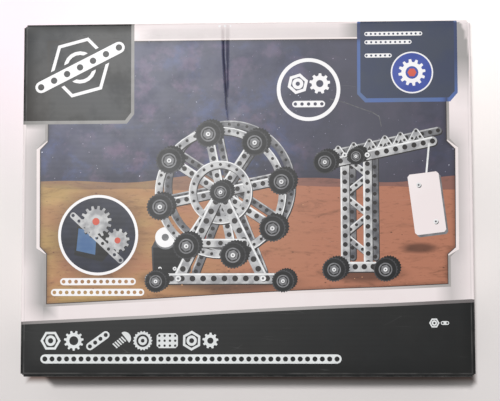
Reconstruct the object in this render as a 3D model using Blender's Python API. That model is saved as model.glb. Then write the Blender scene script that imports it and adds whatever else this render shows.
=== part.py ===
"""A printed folding carton for a toy construction kit, lying on its back.

It is a straight tuck-end carton of fine-flute board. Four panels make a tube along X, closed by
a glue flap inside the upper side. Each end has a closure panel, creased to the front panel, with
a tuck tongue that slips in behind the back panel, and two dust flaps, creased to the side panels.
+X is the right of the print, +Y its top and +Z the way the front panel faces. Lengths in metres.
"""

import math

import bmesh
import bpy
from mathutils import Matrix, Vector

# Outer size of the closed carton
LENGTH = 0.320
HEIGHT = 0.252
DEPTH = 0.060

# Board, and the play that is left between two pieces of it
BOARD = 0.0015
PLAY = 0.0003
ARC_STEPS = 4

# Fluted core of the board: a medium that waves between two liners, its flutes along the tube
LINER = 0.00025
MEDIUM = 0.0002
FLUTE_PITCH = 0.0036
FLUTE_SLOPE_RUN = 0.0009
CRUSHED_RUN = 0.0015

# Front panel: the die cuts its corners off where two creases meet
CORNER_CUT = 0.0018

# Buckle pressed into the front panel from its upper fold
BUCKLE_X = -0.0158
BUCKLE_WIDTH = 0.0043
BUCKLE_LENGTH = 0.072
BUCKLE_DEPTH = 0.0007
BUCKLE_LEAN = math.radians(1.6)

# Glue flap, inside the upper side panel
GLUE_FLAP = 0.018
GLUE_TAPER = math.radians(14.0)
GLUE_END_CLEARANCE = 0.004

# Closure panel
CLOSURE_END_CLEARANCE = 0.0022

# Tuck tongue: its reach past the crease, its end corners and the slit locks at its shoulders
TONGUE_REACH = 0.015
TONGUE_END_CLEARANCE = 0.006
TONGUE_CORNER = 0.011
TONGUE_SWING_CLEARANCE = 0.0003
SLIT_LENGTH = 0.008
SLIT_WIDTH = 0.0012

# Dust flap: its reach, the taper beside the closure's crease and the step that the tongue locks on
DUST_REACH = 0.042
DUST_CORNER = 0.005
DUST_TAPER = math.radians(30.0)
DUST_SWING_CLEARANCE = 0.0007
STEP_RUN = 0.005
STEP_RISE = 0.004
STEP_TAPER = math.radians(9.0)

# Corners where the inner faces of two panels meet
SIDE_INNER_Y = HEIGHT / 2 - BOARD
FRONT_INNER_Z = DEPTH - BOARD
BACK_INNER_Z = BOARD
GLUE_OUTER_Y = SIDE_INNER_Y - PLAY
GLUE_INNER_Y = GLUE_OUTER_Y - BOARD
CLOSURE_INNER_X = LENGTH / 2 - BOARD
DUST_OUTER_X = CLOSURE_INNER_X - PLAY
DUST_INNER_X = DUST_OUTER_X - BOARD
TONGUE_INNER_Z = BACK_INNER_Z + PLAY + BOARD

X_AXIS = Vector((1.0, 0.0, 0.0))
Y_AXIS = Vector((0.0, 1.0, 0.0))
Z_AXIS = Vector((0.0, 0.0, 1.0))
RIGHT_ANGLE = math.pi / 2

# Colours of the print and of the board (sRGB), with how rough each is
PALE_FRAME = ((0.90, 0.87, 0.87), 0.30)
DARK_PRINT = ((0.20, 0.20, 0.20), 0.30)
GREY_LINER = ((0.62, 0.58, 0.53), 0.75)


def tongue_lift():
    """Angle by which the tongue rises from square, so that its tip swings clear of the back panel.

    The tip's outer corner lies on a circle about the closure's hinge, just inside the back panel.
    """
    across = BOARD
    down = DEPTH - TONGUE_INNER_Z
    limit = DEPTH - BACK_INNER_Z - TONGUE_SWING_CLEARANCE
    cosine_part = across * TONGUE_REACH + down * BOARD
    sine_part = across * BOARD - down * TONGUE_REACH
    square = across**2 + down**2 + TONGUE_REACH**2 + BOARD**2
    wanted = (limit**2 - square) / 2
    size = math.hypot(cosine_part, sine_part)
    if wanted >= cosine_part:
        return 0.0
    return math.atan2(sine_part, cosine_part) + math.acos(max(-1.0, wanted / size))


TONGUE_LIFT = tongue_lift()
TONGUE_TURN = RIGHT_ANGLE + TONGUE_LIFT


def dust_low_edge():
    """Height of a dust flap's edge beside its crease, over the arc that the tongue sweeps."""
    across = BOARD
    down = DEPTH - TONGUE_INNER_Z
    nearest = across * math.sin(TONGUE_LIFT) + down * math.cos(TONGUE_LIFT)
    return DEPTH - nearest + DUST_SWING_CLEARANCE


def linear(colour):
    """Turns an sRGB colour into the linear RGBA that a shader takes."""
    values = [c / 12.92 if c <= 0.04045 else ((c + 0.055) / 1.055) ** 2.4 for c in colour]
    return (*values, 1.0)


def make_material(name, finish):
    """Makes one Principled material from a colour and its roughness."""
    colour, roughness = finish
    material = bpy.data.materials.new(name)
    material.use_nodes = True
    shader = material.node_tree.nodes["Principled BSDF"]
    shader.inputs["Base Color"].default_value = linear(colour)
    shader.inputs["Roughness"].default_value = roughness
    shader.inputs["Metallic"].default_value = 0.0
    material.diffuse_color = linear(colour)
    return material


def frame(origin, run, outward):
    """Places a board: local X along its run, local Z out of its printed face.

    The origin lies on the printed face, so the board fills local Z from -BOARD to 0.
    """
    along = outward.cross(run)
    turn = Matrix((run, along, outward)).transposed().to_4x4()
    return Matrix.Translation(origin) @ turn


def folded_edge(inner, turn=RIGHT_ANGLE):
    """Section of an edge that turns round a crease, from the inner face to the printed one.

    The printed face rolls over the crease's inner corner, and two boards share the turn.
    """
    mitre = RIGHT_ANGLE - turn / 2
    half_play = PLAY / 2
    start = mitre + math.asin(half_play / BOARD)
    points = [(inner - half_play / math.sin(mitre), -BOARD)]
    for step in range(ARC_STEPS + 1):
        angle = start + (RIGHT_ANGLE - start) * step / ARC_STEPS
        points.append((inner + BOARD * math.cos(angle), BOARD * math.sin(angle) - BOARD))
    return points


def cut_edge(at):
    """Section of an edge that the die cut square."""
    return [(at, -BOARD), (at, 0.0)]


def section(near, far):
    """Closed section of a board from its near edge, given outward to -run, to its far edge."""
    mirrored = [(-u, v) for u, v in reversed(near)]
    return far + mirrored


def rounded(corners):
    """Turns a table of corners (u, w, radius) into a closed outline with arcs at its corners."""
    points = []
    count = len(corners)
    for index, (u, w, radius) in enumerate(corners):
        here = Vector((u, w))
        if radius <= 0.0:
            points.append((u, w))
            continue
        before = (Vector(corners[index - 1][:2]) - here).normalized()
        after = (Vector(corners[(index + 1) % count][:2]) - here).normalized()
        half = before.angle(after) / 2
        reach = radius / math.tan(half)
        middle = here + (before + after).normalized() * (radius / math.sin(half))
        first = here + before * reach - middle
        last = here + after * reach - middle
        sweep = first.angle_signed(last)
        for step in range(ARC_STEPS + 1):
            turned = Matrix.Rotation(-sweep * step / ARC_STEPS, 2) @ first
            points.append(tuple(middle + turned))
    return points


def extruded(name, outlines, depth, matrix):
    """Makes solids from flat outlines in their local XY plane, reaching depth / 2 each way."""
    curve = bpy.data.curves.new(name, "CURVE")
    curve.dimensions = "2D"
    curve.fill_mode = "BOTH"
    curve.extrude = depth / 2
    for outline in outlines:
        spline = curve.splines.new("POLY")
        spline.points.add(len(outline) - 1)
        for point, (x, y) in zip(spline.points, outline):
            point.co = (x, y, 0.0, 1.0)
        spline.use_cyclic_u = True
    shape = bpy.data.objects.new(name + "_outline", curve)
    shape.matrix_world = matrix
    bpy.context.scene.collection.objects.link(shape)
    bpy.context.view_layer.update()

    depsgraph = bpy.context.evaluated_depsgraph_get()
    mesh = bpy.data.meshes.new_from_object(shape.evaluated_get(depsgraph))
    mesh.name = name
    work = bmesh.new()
    work.from_mesh(mesh)
    bmesh.ops.remove_doubles(work, verts=work.verts, dist=1e-6)
    bmesh.ops.recalc_face_normals(work, faces=work.faces)
    work.to_mesh(mesh)
    work.free()

    solid = bpy.data.objects.new(name, mesh)
    solid.matrix_world = shape.matrix_world.copy()
    bpy.data.objects.remove(shape)
    return solid


def cut_by(piece, cutter, cutters, operation="INTERSECT"):
    """Cuts a piece with a cutter, which stays beside it as a hidden wire shape."""
    cutters.objects.link(cutter)
    cutter.hide_render = True
    cutter.display_type = "WIRE"
    modifier = piece.modifiers.new(cutter.name, "BOOLEAN")
    modifier.operation = operation
    modifier.object = cutter
    modifier.solver = "EXACT"


def board(name, matrix, across, width, outline, material, collections):
    """Makes one piece of board: its section across the run, trimmed to its flat outline.

    The section runs in local X and Z and is as wide as the outline's reach along local Y.
    """
    parts, cutters = collections
    stand = Matrix.Rotation(RIGHT_ANGLE, 4, "X")
    piece = extruded(name, [across], width, matrix @ stand)
    piece.data.materials.append(material)
    parts.objects.link(piece)
    trim = extruded(name + "_trim", [outline], BOARD * 4, matrix)
    cut_by(piece, trim, cutters)
    return piece


def roll_ends(piece, matrix, along, width, cutters):
    """Gives a board folded edges along its second direction, by its section that way."""
    turned = matrix @ Matrix.Rotation(RIGHT_ANGLE, 4, "Z") @ Matrix.Rotation(RIGHT_ANGLE, 4, "X")
    cut_by(piece, extruded(piece.name + "_ends", [along], width, turned), cutters)


def flute_cells(low, high):
    """Air cells of the fluted core, in section, from one place across the flutes to another.

    Each is a trapezoid between a liner and the medium. They alternate up and down at half the
    flutes' pitch, and only whole cells are given.
    """
    core_top = -LINER
    core_low = -BOARD + LINER
    crest = core_top - MEDIUM
    trough = core_low + MEDIUM
    slope = FLUTE_SLOPE_RUN / 2
    web = MEDIUM / 2
    wide = FLUTE_PITCH / 4 + slope - web
    narrow = FLUTE_PITCH / 4 - slope - web
    count = int((high - low) / (FLUTE_PITCH / 2)) - 1
    first = (low + high) / 2 - (count - 1) * FLUTE_PITCH / 4
    cells = []
    for index in range(count):
        middle = first + index * FLUTE_PITCH / 2
        base, tip = (core_low, crest) if index % 2 else (core_top, trough)
        cells.append(
            [
                (middle - wide, base),
                (middle + wide, base),
                (middle + narrow, tip),
                (middle - narrow, tip),
            ]
        )
    return cells


def open_flutes(piece, matrix, reach, span, cutters, across_run=False):
    """Opens the flutes of a board, so that its cut edges show the wavy core.

    The flutes run from reach[0] to reach[1] along local X and fill span along local Y. With
    across_run they run along local Y and fill span along local X. They stop where a crease has
    crushed the board.
    """
    middle = (reach[0] + reach[1]) / 2
    turn = Matrix.Rotation(RIGHT_ANGLE, 4, "X")
    if across_run:
        turned = matrix @ Matrix.Translation((0.0, middle, 0.0)) @ turn
    else:
        quarter = Matrix.Rotation(RIGHT_ANGLE, 4, "Z")
        turned = matrix @ Matrix.Translation((middle, 0.0, 0.0)) @ quarter @ turn
    cells = flute_cells(*span)
    cutter = extruded(piece.name + "_flutes", cells, reach[1] - reach[0], turned)
    cut_by(piece, cutter, cutters, operation="DIFFERENCE")


def front_panel(material, collections):
    """The front panel: all four edges are folds, and the die cuts its corners."""
    origin = Vector((0.0, 0.0, DEPTH))
    place = frame(origin, X_AXIS, Z_AXIS)
    cut = CORNER_CUT
    half_x = LENGTH / 2
    half_y = HEIGHT / 2
    corners = []
    for sign_x, sign_y, flip in ((1, 1, 0), (-1, 1, 1), (-1, -1, 0), (1, -1, 1)):
        pair = [
            (sign_x * half_x, sign_y * (half_y - cut)),
            (sign_x * (half_x - cut), sign_y * half_y),
        ]
        corners += pair[::-1] if flip else pair
    across = section(folded_edge(CLOSURE_INNER_X), folded_edge(CLOSURE_INNER_X))
    along = section(folded_edge(SIDE_INNER_Y), folded_edge(SIDE_INNER_Y))
    piece = board("front_panel", place, across, HEIGHT * 1.1, corners, material, collections)
    roll_ends(piece, place, along, LENGTH * 1.1, collections[1])
    press_buckle(piece, collections[1])
    return piece


def press_buckle(panel, cutters):
    """Presses a long, narrow, three-sided buckle into the front panel from its upper fold.

    A cone of three sides lies along Y with its apex on the panel's face, at the buckle's tip.
    Its flat side is over the face, where it cuts nothing, and its ridge is pressed in. At the
    fold it is BUCKLE_WIDTH wide on the face and BUCKLE_DEPTH deep.
    """
    past_fold = 1.1
    reach = BUCKLE_LENGTH * past_fold
    radius = BUCKLE_WIDTH * past_fold * math.sqrt(3.0) / 2
    work = bmesh.new()
    bmesh.ops.create_cone(
        work, cap_ends=True, segments=3, radius1=radius, radius2=0.0, depth=reach
    )
    bmesh.ops.transform(work, matrix=Matrix.Rotation(RIGHT_ANGLE, 4, "X"), verts=work.verts)
    ridge = max(work.verts, key=lambda vert: abs(vert.co.z))
    scale = -BUCKLE_DEPTH * past_fold / ridge.co.z
    flat = Matrix.Diagonal((1.0, 1.0, scale, 1.0))
    bmesh.ops.transform(work, matrix=flat, verts=work.verts)
    bmesh.ops.recalc_face_normals(work, faces=work.faces)
    mesh = bpy.data.meshes.new("front_buckle")
    work.to_mesh(mesh)
    work.free()
    cutter = bpy.data.objects.new("front_buckle", mesh)
    tip_y = HEIGHT / 2 - BUCKLE_LENGTH
    cutter.location = (BUCKLE_X, tip_y + reach / 2, DEPTH)
    cutter.rotation_euler = (0.0, 0.0, BUCKLE_LEAN)
    cut_by(panel, cutter, cutters, operation="DIFFERENCE")


def back_panel(material, collections):
    """The back panel: cut square at both ends, creased to the lower side and to the glue flap."""
    place = frame(Vector((0.0, 0.0, 0.0)), -Y_AXIS, -Z_AXIS)
    across = section(folded_edge(GLUE_INNER_Y), folded_edge(SIDE_INNER_Y))
    half_x = LENGTH / 2
    reach = HEIGHT
    outline = [(-reach, -half_x), (reach, -half_x), (reach, half_x), (-reach, half_x)]
    piece = board("back_panel", place, across, LENGTH * 1.1, outline, material, collections)
    span = (CRUSHED_RUN - GLUE_INNER_Y, SIDE_INNER_Y - CRUSHED_RUN)
    open_flutes(piece, place, (-LENGTH, LENGTH), span, collections[1], across_run=True)
    return piece


def side_panel(name, side, low_edge, material, collections):
    """A side panel: folded to the front, to its two dust flaps and, on one side, to the back."""
    outward = Y_AXIS * side
    place = frame(outward * (HEIGHT / 2), Z_AXIS, outward)
    across = section(low_edge, folded_edge(FRONT_INNER_Z))
    half_x = DUST_OUTER_X
    outline = [(-DEPTH, -half_x), (DEPTH * 2, -half_x), (DEPTH * 2, half_x), (-DEPTH, half_x)]
    piece = board(name, place, across, LENGTH, outline, material, collections)
    along = section(folded_edge(DUST_INNER_X), folded_edge(DUST_INNER_X))
    roll_ends(piece, place, along, DEPTH * 4, collections[1])
    return piece


def glue_flap(material, collections):
    """The glue flap, creased to the back panel and glued inside the upper side panel."""
    place = frame(Y_AXIS * GLUE_OUTER_Y, Z_AXIS, Y_AXIS)
    across = section(folded_edge(-BACK_INNER_Z), cut_edge(GLUE_FLAP))
    root = DUST_INNER_X - GLUE_END_CLEARANCE
    tip = root - GLUE_FLAP * math.tan(GLUE_TAPER)
    outline = [(-BOARD, -root), (GLUE_FLAP * 2, -2 * tip + root), (GLUE_FLAP * 2, 2 * tip - root)]
    outline.append((-BOARD, root))
    piece = board("glue_flap", place, across, LENGTH, outline, material, collections)
    span = (BACK_INNER_Z + CRUSHED_RUN, GLUE_FLAP - LINER)
    open_flutes(piece, place, (-LENGTH, LENGTH), span, collections[1], across_run=True)
    return piece


def closure_frame(end):
    """Frame of a closure panel, from its hinge on the front panel's outer corner and down."""
    return frame(Vector((end * LENGTH / 2, 0.0, DEPTH)), -Z_AXIS, X_AXIS * end)


def closure_panel(name, end, material, collections):
    """A closure panel, from its crease on the front panel to its crease on the tongue."""
    near = folded_edge(-BOARD)
    far = folded_edge(DEPTH - TONGUE_INNER_Z, TONGUE_TURN)
    half = HEIGHT / 2 - CLOSURE_END_CLEARANCE
    outline = [(-DEPTH, -half), (DEPTH * 2, -half), (DEPTH * 2, half), (-DEPTH, half)]
    place = closure_frame(end)
    return board(name, place, section(near, far), HEIGHT, outline, material, collections)


def tuck_tongue(name, end, material, collections):
    """A tuck tongue: round end corners, and a slit lock at each end of its crease."""
    corner = Vector((end * CLOSURE_INNER_X, 0.0, TONGUE_INNER_Z))
    run = Vector((-end * math.cos(TONGUE_LIFT), 0.0, math.sin(TONGUE_LIFT)))
    outward = Vector((-end * math.sin(TONGUE_LIFT), 0.0, -math.cos(TONGUE_LIFT)))
    place = frame(corner + outward * BOARD, run, outward)
    across = section(folded_edge(0.0, TONGUE_TURN), cut_edge(TONGUE_REACH))
    half = HEIGHT / 2 - TONGUE_END_CLEARANCE
    neck = half - SLIT_LENGTH
    # Columns: distance from the crease, distance from the middle, corner radius
    side = [
        (-BOARD * 2, neck, 0.0),
        (SLIT_WIDTH, neck, 0.0),
        (SLIT_WIDTH, half, 0.0),
        (TONGUE_REACH, half, TONGUE_CORNER),
    ]
    other = [(u, -w, radius) for u, w, radius in reversed(side)]
    piece = board(name, place, across, HEIGHT, rounded(side + other), material, collections)
    reach = (SLIT_WIDTH + CRUSHED_RUN, TONGUE_REACH * 1.5)
    open_flutes(piece, place, reach, (LINER - half, half - LINER), collections[1])
    return piece


def dust_flap(name, end, side, material, collections):
    """A dust flap: tapered beside the closure's crease, stepped beside the tongue."""
    hinge = Vector((end * DUST_OUTER_X, side * HEIGHT / 2, 0.0))
    place = frame(hinge, -Y_AXIS * side, X_AXIS * end)
    across = section(folded_edge(-BOARD), cut_edge(DUST_REACH))
    low = dust_low_edge()
    high = FRONT_INNER_Z - PLAY
    step_end = STEP_RUN + STEP_RISE
    low_tip = low + STEP_RISE + (DUST_REACH - step_end) * math.tan(STEP_TAPER)
    high_tip = high - DUST_REACH * math.tan(DUST_TAPER)
    # Columns: distance from the crease, height over the back panel's face, corner radius
    corners = [
        (-BOARD * 2, low, 0.0),
        (STEP_RUN, low, 0.0),
        (step_end, low + STEP_RISE, 0.0),
        (DUST_REACH, low_tip, DUST_CORNER),
        (DUST_REACH, high_tip, DUST_CORNER),
        (0.0, high, 0.0),
        (-BOARD * 2, high, 0.0),
    ]
    up = 1.0 if place.col[1].z > 0.0 else -1.0
    outline = rounded([(u, w * up, radius) for u, w, radius in corners])
    piece = board(name, place, across, DEPTH * 4, outline, material, collections)
    span = sorted(((low + LINER) * up, (high - LINER) * up))
    open_flutes(piece, place, (CRUSHED_RUN, DUST_REACH * 1.5), span, collections[1])
    return piece


def hang(pieces, name, place, axis_tag, parts):
    """Hangs pieces on an empty that lies on their hinge, so that turning it opens them."""
    hinge = bpy.data.objects.new(name, None)
    hinge.empty_display_size = 0.02
    hinge.location = place
    hinge["hinge_axis"] = axis_tag
    parts.objects.link(hinge)
    bpy.context.view_layer.update()
    for piece in pieces:
        kept = piece.matrix_world.copy()
        piece.parent = hinge
        piece.matrix_parent_inverse = hinge.matrix_world.inverted()
        piece.matrix_world = kept
    return hinge


def main():
    """Builds the whole carton, closed."""
    for item in list(bpy.data.objects):
        bpy.data.objects.remove(item)
    parts = bpy.data.collections.new("construction_kit_carton")
    cutters = bpy.data.collections.new("cutters")
    bpy.context.scene.collection.children.link(parts)
    bpy.context.scene.collection.children.link(cutters)
    both = (parts, cutters)

    front_panel(make_material("front_print", PALE_FRAME), both)
    back_panel(make_material("back_print", PALE_FRAME), both)
    seam_edge = cut_edge(0.0)
    fold_edge = folded_edge(-BACK_INNER_Z)
    upper_print = make_material("upper_side_print", PALE_FRAME)
    lower_print = make_material("lower_side_print", DARK_PRINT)
    side_panel("upper_side_panel", 1, seam_edge, upper_print, both)
    side_panel("lower_side_panel", -1, fold_edge, lower_print, both)
    glue_flap(make_material("glue_flap_liner", GREY_LINER), both)

    # Columns: name of the end, its side of the carton along X
    for end_name, end in (("left", -1), ("right", 1)):
        panel_print = make_material(end_name + "_closure_print", PALE_FRAME)
        tongue_print = make_material(end_name + "_tongue_print", PALE_FRAME)
        panel = closure_panel(end_name + "_closure_panel", end, panel_print, both)
        tongue = tuck_tongue(end_name + "_tuck_tongue", end, tongue_print, both)
        place = Vector((end * LENGTH / 2, 0.0, DEPTH))
        hang((panel, tongue), end_name + "_closure_hinge", place, "Y", parts)
        # Columns: name of the side, its side of the carton along Y
        for side_name, side in (("upper", 1), ("lower", -1)):
            name = end_name + "_" + side_name + "_dust_flap"
            dust_flap(name, end, side, make_material(name + "_liner", GREY_LINER), both)


main()
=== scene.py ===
"""Looks of the toy construction kit carton: fluted board, film-laminated print, folds and wear.

The carton lies on its back on a pale table. +X is the right of the print, +Y its top and +Z the
way the front panel faces. Artwork is laid out flat in millimetres; meshes are in metres.
"""

import logging
import math
from collections.abc import Callable, Iterable, Sequence
from dataclasses import dataclass, field
from enum import Enum
from functools import reduce
from typing import Any

import bpy
from mathutils import Matrix, Vector
from mathutils.geometry import delaunay_2d_cdt


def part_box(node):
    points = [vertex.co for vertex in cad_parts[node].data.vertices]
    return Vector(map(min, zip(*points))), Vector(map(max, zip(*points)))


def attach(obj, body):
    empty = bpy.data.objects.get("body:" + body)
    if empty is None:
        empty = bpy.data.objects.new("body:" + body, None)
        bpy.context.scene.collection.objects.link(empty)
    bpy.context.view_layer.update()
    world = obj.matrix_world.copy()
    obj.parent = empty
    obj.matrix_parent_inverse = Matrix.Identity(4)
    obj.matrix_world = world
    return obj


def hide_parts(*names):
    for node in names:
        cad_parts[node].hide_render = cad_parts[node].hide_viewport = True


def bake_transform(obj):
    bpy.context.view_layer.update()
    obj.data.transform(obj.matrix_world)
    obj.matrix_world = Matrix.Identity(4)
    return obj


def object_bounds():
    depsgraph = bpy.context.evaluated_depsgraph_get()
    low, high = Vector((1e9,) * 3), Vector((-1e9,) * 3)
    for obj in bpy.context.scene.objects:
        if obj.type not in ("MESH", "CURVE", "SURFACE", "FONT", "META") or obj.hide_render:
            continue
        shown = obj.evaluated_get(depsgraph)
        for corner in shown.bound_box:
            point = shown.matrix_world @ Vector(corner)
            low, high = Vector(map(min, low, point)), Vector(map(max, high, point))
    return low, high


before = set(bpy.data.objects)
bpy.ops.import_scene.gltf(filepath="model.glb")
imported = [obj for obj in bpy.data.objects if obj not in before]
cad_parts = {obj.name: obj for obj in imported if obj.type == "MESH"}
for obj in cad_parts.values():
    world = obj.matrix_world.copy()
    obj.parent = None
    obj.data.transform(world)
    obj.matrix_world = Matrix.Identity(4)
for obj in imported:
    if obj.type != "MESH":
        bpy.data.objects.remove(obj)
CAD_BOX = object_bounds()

MM = 0.001
QUARTER = math.pi / 2
X_AXIS = Vector((1.0, 0.0, 0.0))
Y_AXIS = Vector((0.0, 1.0, 0.0))
Z_AXIS = Vector((0.0, 0.0, 1.0))

Flat = tuple[float, float]
Ring = list[Flat]
Colour = tuple[float, float, float]
Placing = Callable[[Flat], Vector]

log = logging.getLogger("carton")


# Sizes that the boards share


@dataclass(frozen=True)
class CartonSizes:
    """Sizes of the closed carton in millimetres, as the solids have them."""

    length: float
    height: float
    depth: float
    board: float = 1.5
    play: float = 0.3
    print_sheet: float = 0.05
    liner: float = 0.25
    flute_pitch: float = 3.6
    closure_end: float = 2.2
    tongue_reach: float = 15.0
    tongue_end: float = 6.0
    tongue_corner: float = 11.0
    slit_length: float = 8.0
    slit_width: float = 1.2
    dust_reach: float = 42.0
    glue_reach: float = 18.0

    @property
    def side_inner(self) -> float:
        """Where the front panel's flat part ends and its upper and lower folds start."""
        return self.height / 2 - self.board

    @property
    def closure_inner(self) -> float:
        """Where the front panel's flat part ends and the closures' creases start."""
        return self.length / 2 - self.board

    @property
    def dust_outer(self) -> float:
        """Outer face of the closed dust flaps."""
        return self.closure_inner - self.play

    @property
    def dust_inner(self) -> float:
        """Where the side panels' flat part ends and the dust flaps' creases start."""
        return self.dust_outer - self.board

    @property
    def front_inner(self) -> float:
        """Height at which the side panels and closures meet the front panel's folds."""
        return self.depth - self.board

    @property
    def arc(self) -> float:
        """Length of print that a square fold takes up."""
        return self.board * QUARTER


def measured_sizes() -> CartonSizes:
    """Takes the carton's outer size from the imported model.

    Returns:
        The sizes that every board and print is built from.
    """
    low, high = CAD_BOX
    span = [round((high[axis] - low[axis]) / MM, 3) for axis in range(3)]
    return CartonSizes(*span)


# Flat outlines, in millimetres


def turned(ring: Iterable[Flat], angle: float, centre: Flat) -> Ring:
    """Turns an outline.

    Args:
        ring: The outline.
        angle: The turn in degrees.
        centre: The point that it turns about.

    Returns:
        The turned outline.
    """
    sine, cosine = math.sin(math.radians(angle)), math.cos(math.radians(angle))
    ox, oy = centre
    return [(ox + (x - ox) * cosine - (y - oy) * sine, oy + (x - ox) * sine + (y - oy) * cosine)
            for x, y in ring]


def clamp(value: float) -> float:
    """Keeps a value from 0 to 1."""
    return min(1.0, max(0.0, value))


def shifted(flat: Flat, dx: float, dy: float) -> Flat:
    """Moves a flat point."""
    return flat[0] + dx, flat[1] + dy


def polar(centre: Flat, radius: float, angle: float) -> Flat:
    """Gives the point at a distance from a centre, in a direction in radians."""
    return centre[0] + radius * math.cos(angle), centre[1] + radius * math.sin(angle)


def disc(centre: Flat, radius: float, sides: int = 24, phase: float = 0.0) -> Ring:
    """Outline of a round or, with few sides, a polygonal area."""
    return [polar(centre, radius, phase + math.tau * step / sides) for step in range(sides)]


def box(low: Flat, high: Flat, cut: float = 0.0) -> Ring:
    """Outline of an upright rectangle, whose corners may be cut at 45 degrees.

    Args:
        low: Its lower left corner.
        high: Its upper right corner.
        cut: How much of each corner is cut away.

    Returns:
        The outline, counter-clockwise.
    """
    (left, foot), (right, top) = low, high
    return [low, (right, foot), high, (left, top)] if not cut else [
        (left, foot + cut), (left + cut, foot), (right - cut, foot), (right, foot + cut),
        (right, top - cut), (right - cut, top), (left + cut, top), (left, top - cut)]


def capsule(start: Flat, end: Flat, radius: float, steps: int = 7) -> Ring:
    """Outline of a strip with round ends, from the middle of one end to that of the other.

    Args:
        start: Middle of the first round end.
        end: Middle of the second round end.
        radius: Half the strip's width.
        steps: Number of chords in each round end.

    Returns:
        The outline, counter-clockwise.
    """
    heading = math.atan2(end[1] - start[1], end[0] - start[0])
    return [polar(centre, radius, first + math.pi * step / steps)
            for centre, first in ((end, heading - QUARTER), (start, heading + QUARTER))
            for step in range(steps + 1)]


def cog(centre: Flat, root: float, tip: float, teeth: int, phase: float = 0.0) -> Ring:
    """Outline of a toothed wheel.

    Args:
        centre: Middle of the wheel.
        root: Radius between the teeth.
        tip: Radius over the teeth.
        teeth: Number of teeth.
        phase: Turn in degrees.

    Returns:
        The outline, counter-clockwise.
    """
    pitch = math.tau / teeth
    return [polar(centre, radius, math.radians(phase) + tooth * pitch + share * pitch)
            for tooth in range(teeth)
            for share, radius in ((-0.30, root), (-0.17, tip), (0.17, tip), (0.30, root))]


def inset(ring: Ring, distance: float) -> Ring:
    """Runs an outline inside another one, at the same distance all along.

    Args:
        ring: The outer outline.
        distance: The distance.

    Returns:
        The inner outline, counter-clockwise.
    """
    ring = counter_clockwise(ring)
    found: Ring = []
    for before, here, after in zip(ring[-1:] + ring[:-1], ring, ring[1:] + ring[:1]):
        first = Vector((here[0] - before[0], here[1] - before[1])).normalized()
        second = Vector((after[0] - here[0], after[1] - here[1])).normalized()
        normal = Vector((-first.y - second.y, first.x + second.x)).normalized()
        reach = distance / max(0.3, normal.dot(Vector((-first.y, first.x))))
        found.append((here[0] + normal.x * reach, here[1] + normal.y * reach))
    return found


def counter_clockwise(ring: Ring) -> Ring:
    """Gives an outline counter-clockwise, whichever way it was drawn."""
    area = sum(ax * by - bx * ay for (ax, ay), (bx, by) in zip(ring, ring[1:] + ring[:1]))
    return ring if area > 0.0 else ring[::-1]


def line_gap(flat: Flat, line: Sequence[Flat]) -> float:
    """Measures how far a point lies from a line of several stretches.

    Args:
        flat: The point.
        line: The line's points in order.

    Returns:
        The distance to its nearest stretch.
    """
    x, y = flat
    nearest = math.inf
    for (ax, ay), (bx, by) in zip(line, line[1:]):
        span = (bx - ax) ** 2 + (by - ay) ** 2
        share = clamp(((x - ax) * (bx - ax) + (y - ay) * (by - ay)) / span)
        nearest = min(nearest, math.hypot(x - ax - share * (bx - ax), y - ay - share * (by - ay)))
    return nearest


def mirrored(half: Ring) -> Ring:
    """Completes an outline that is alike on both sides of its middle line."""
    return half + [(u, -w) for u, w in reversed(half)]


@dataclass(frozen=True)
class Area:
    """One flat area of print: which piece and ink it belongs to, its outline and its holes."""

    piece: str
    ink: str
    outline: Ring
    holes: tuple[Ring, ...] = ()


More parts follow.
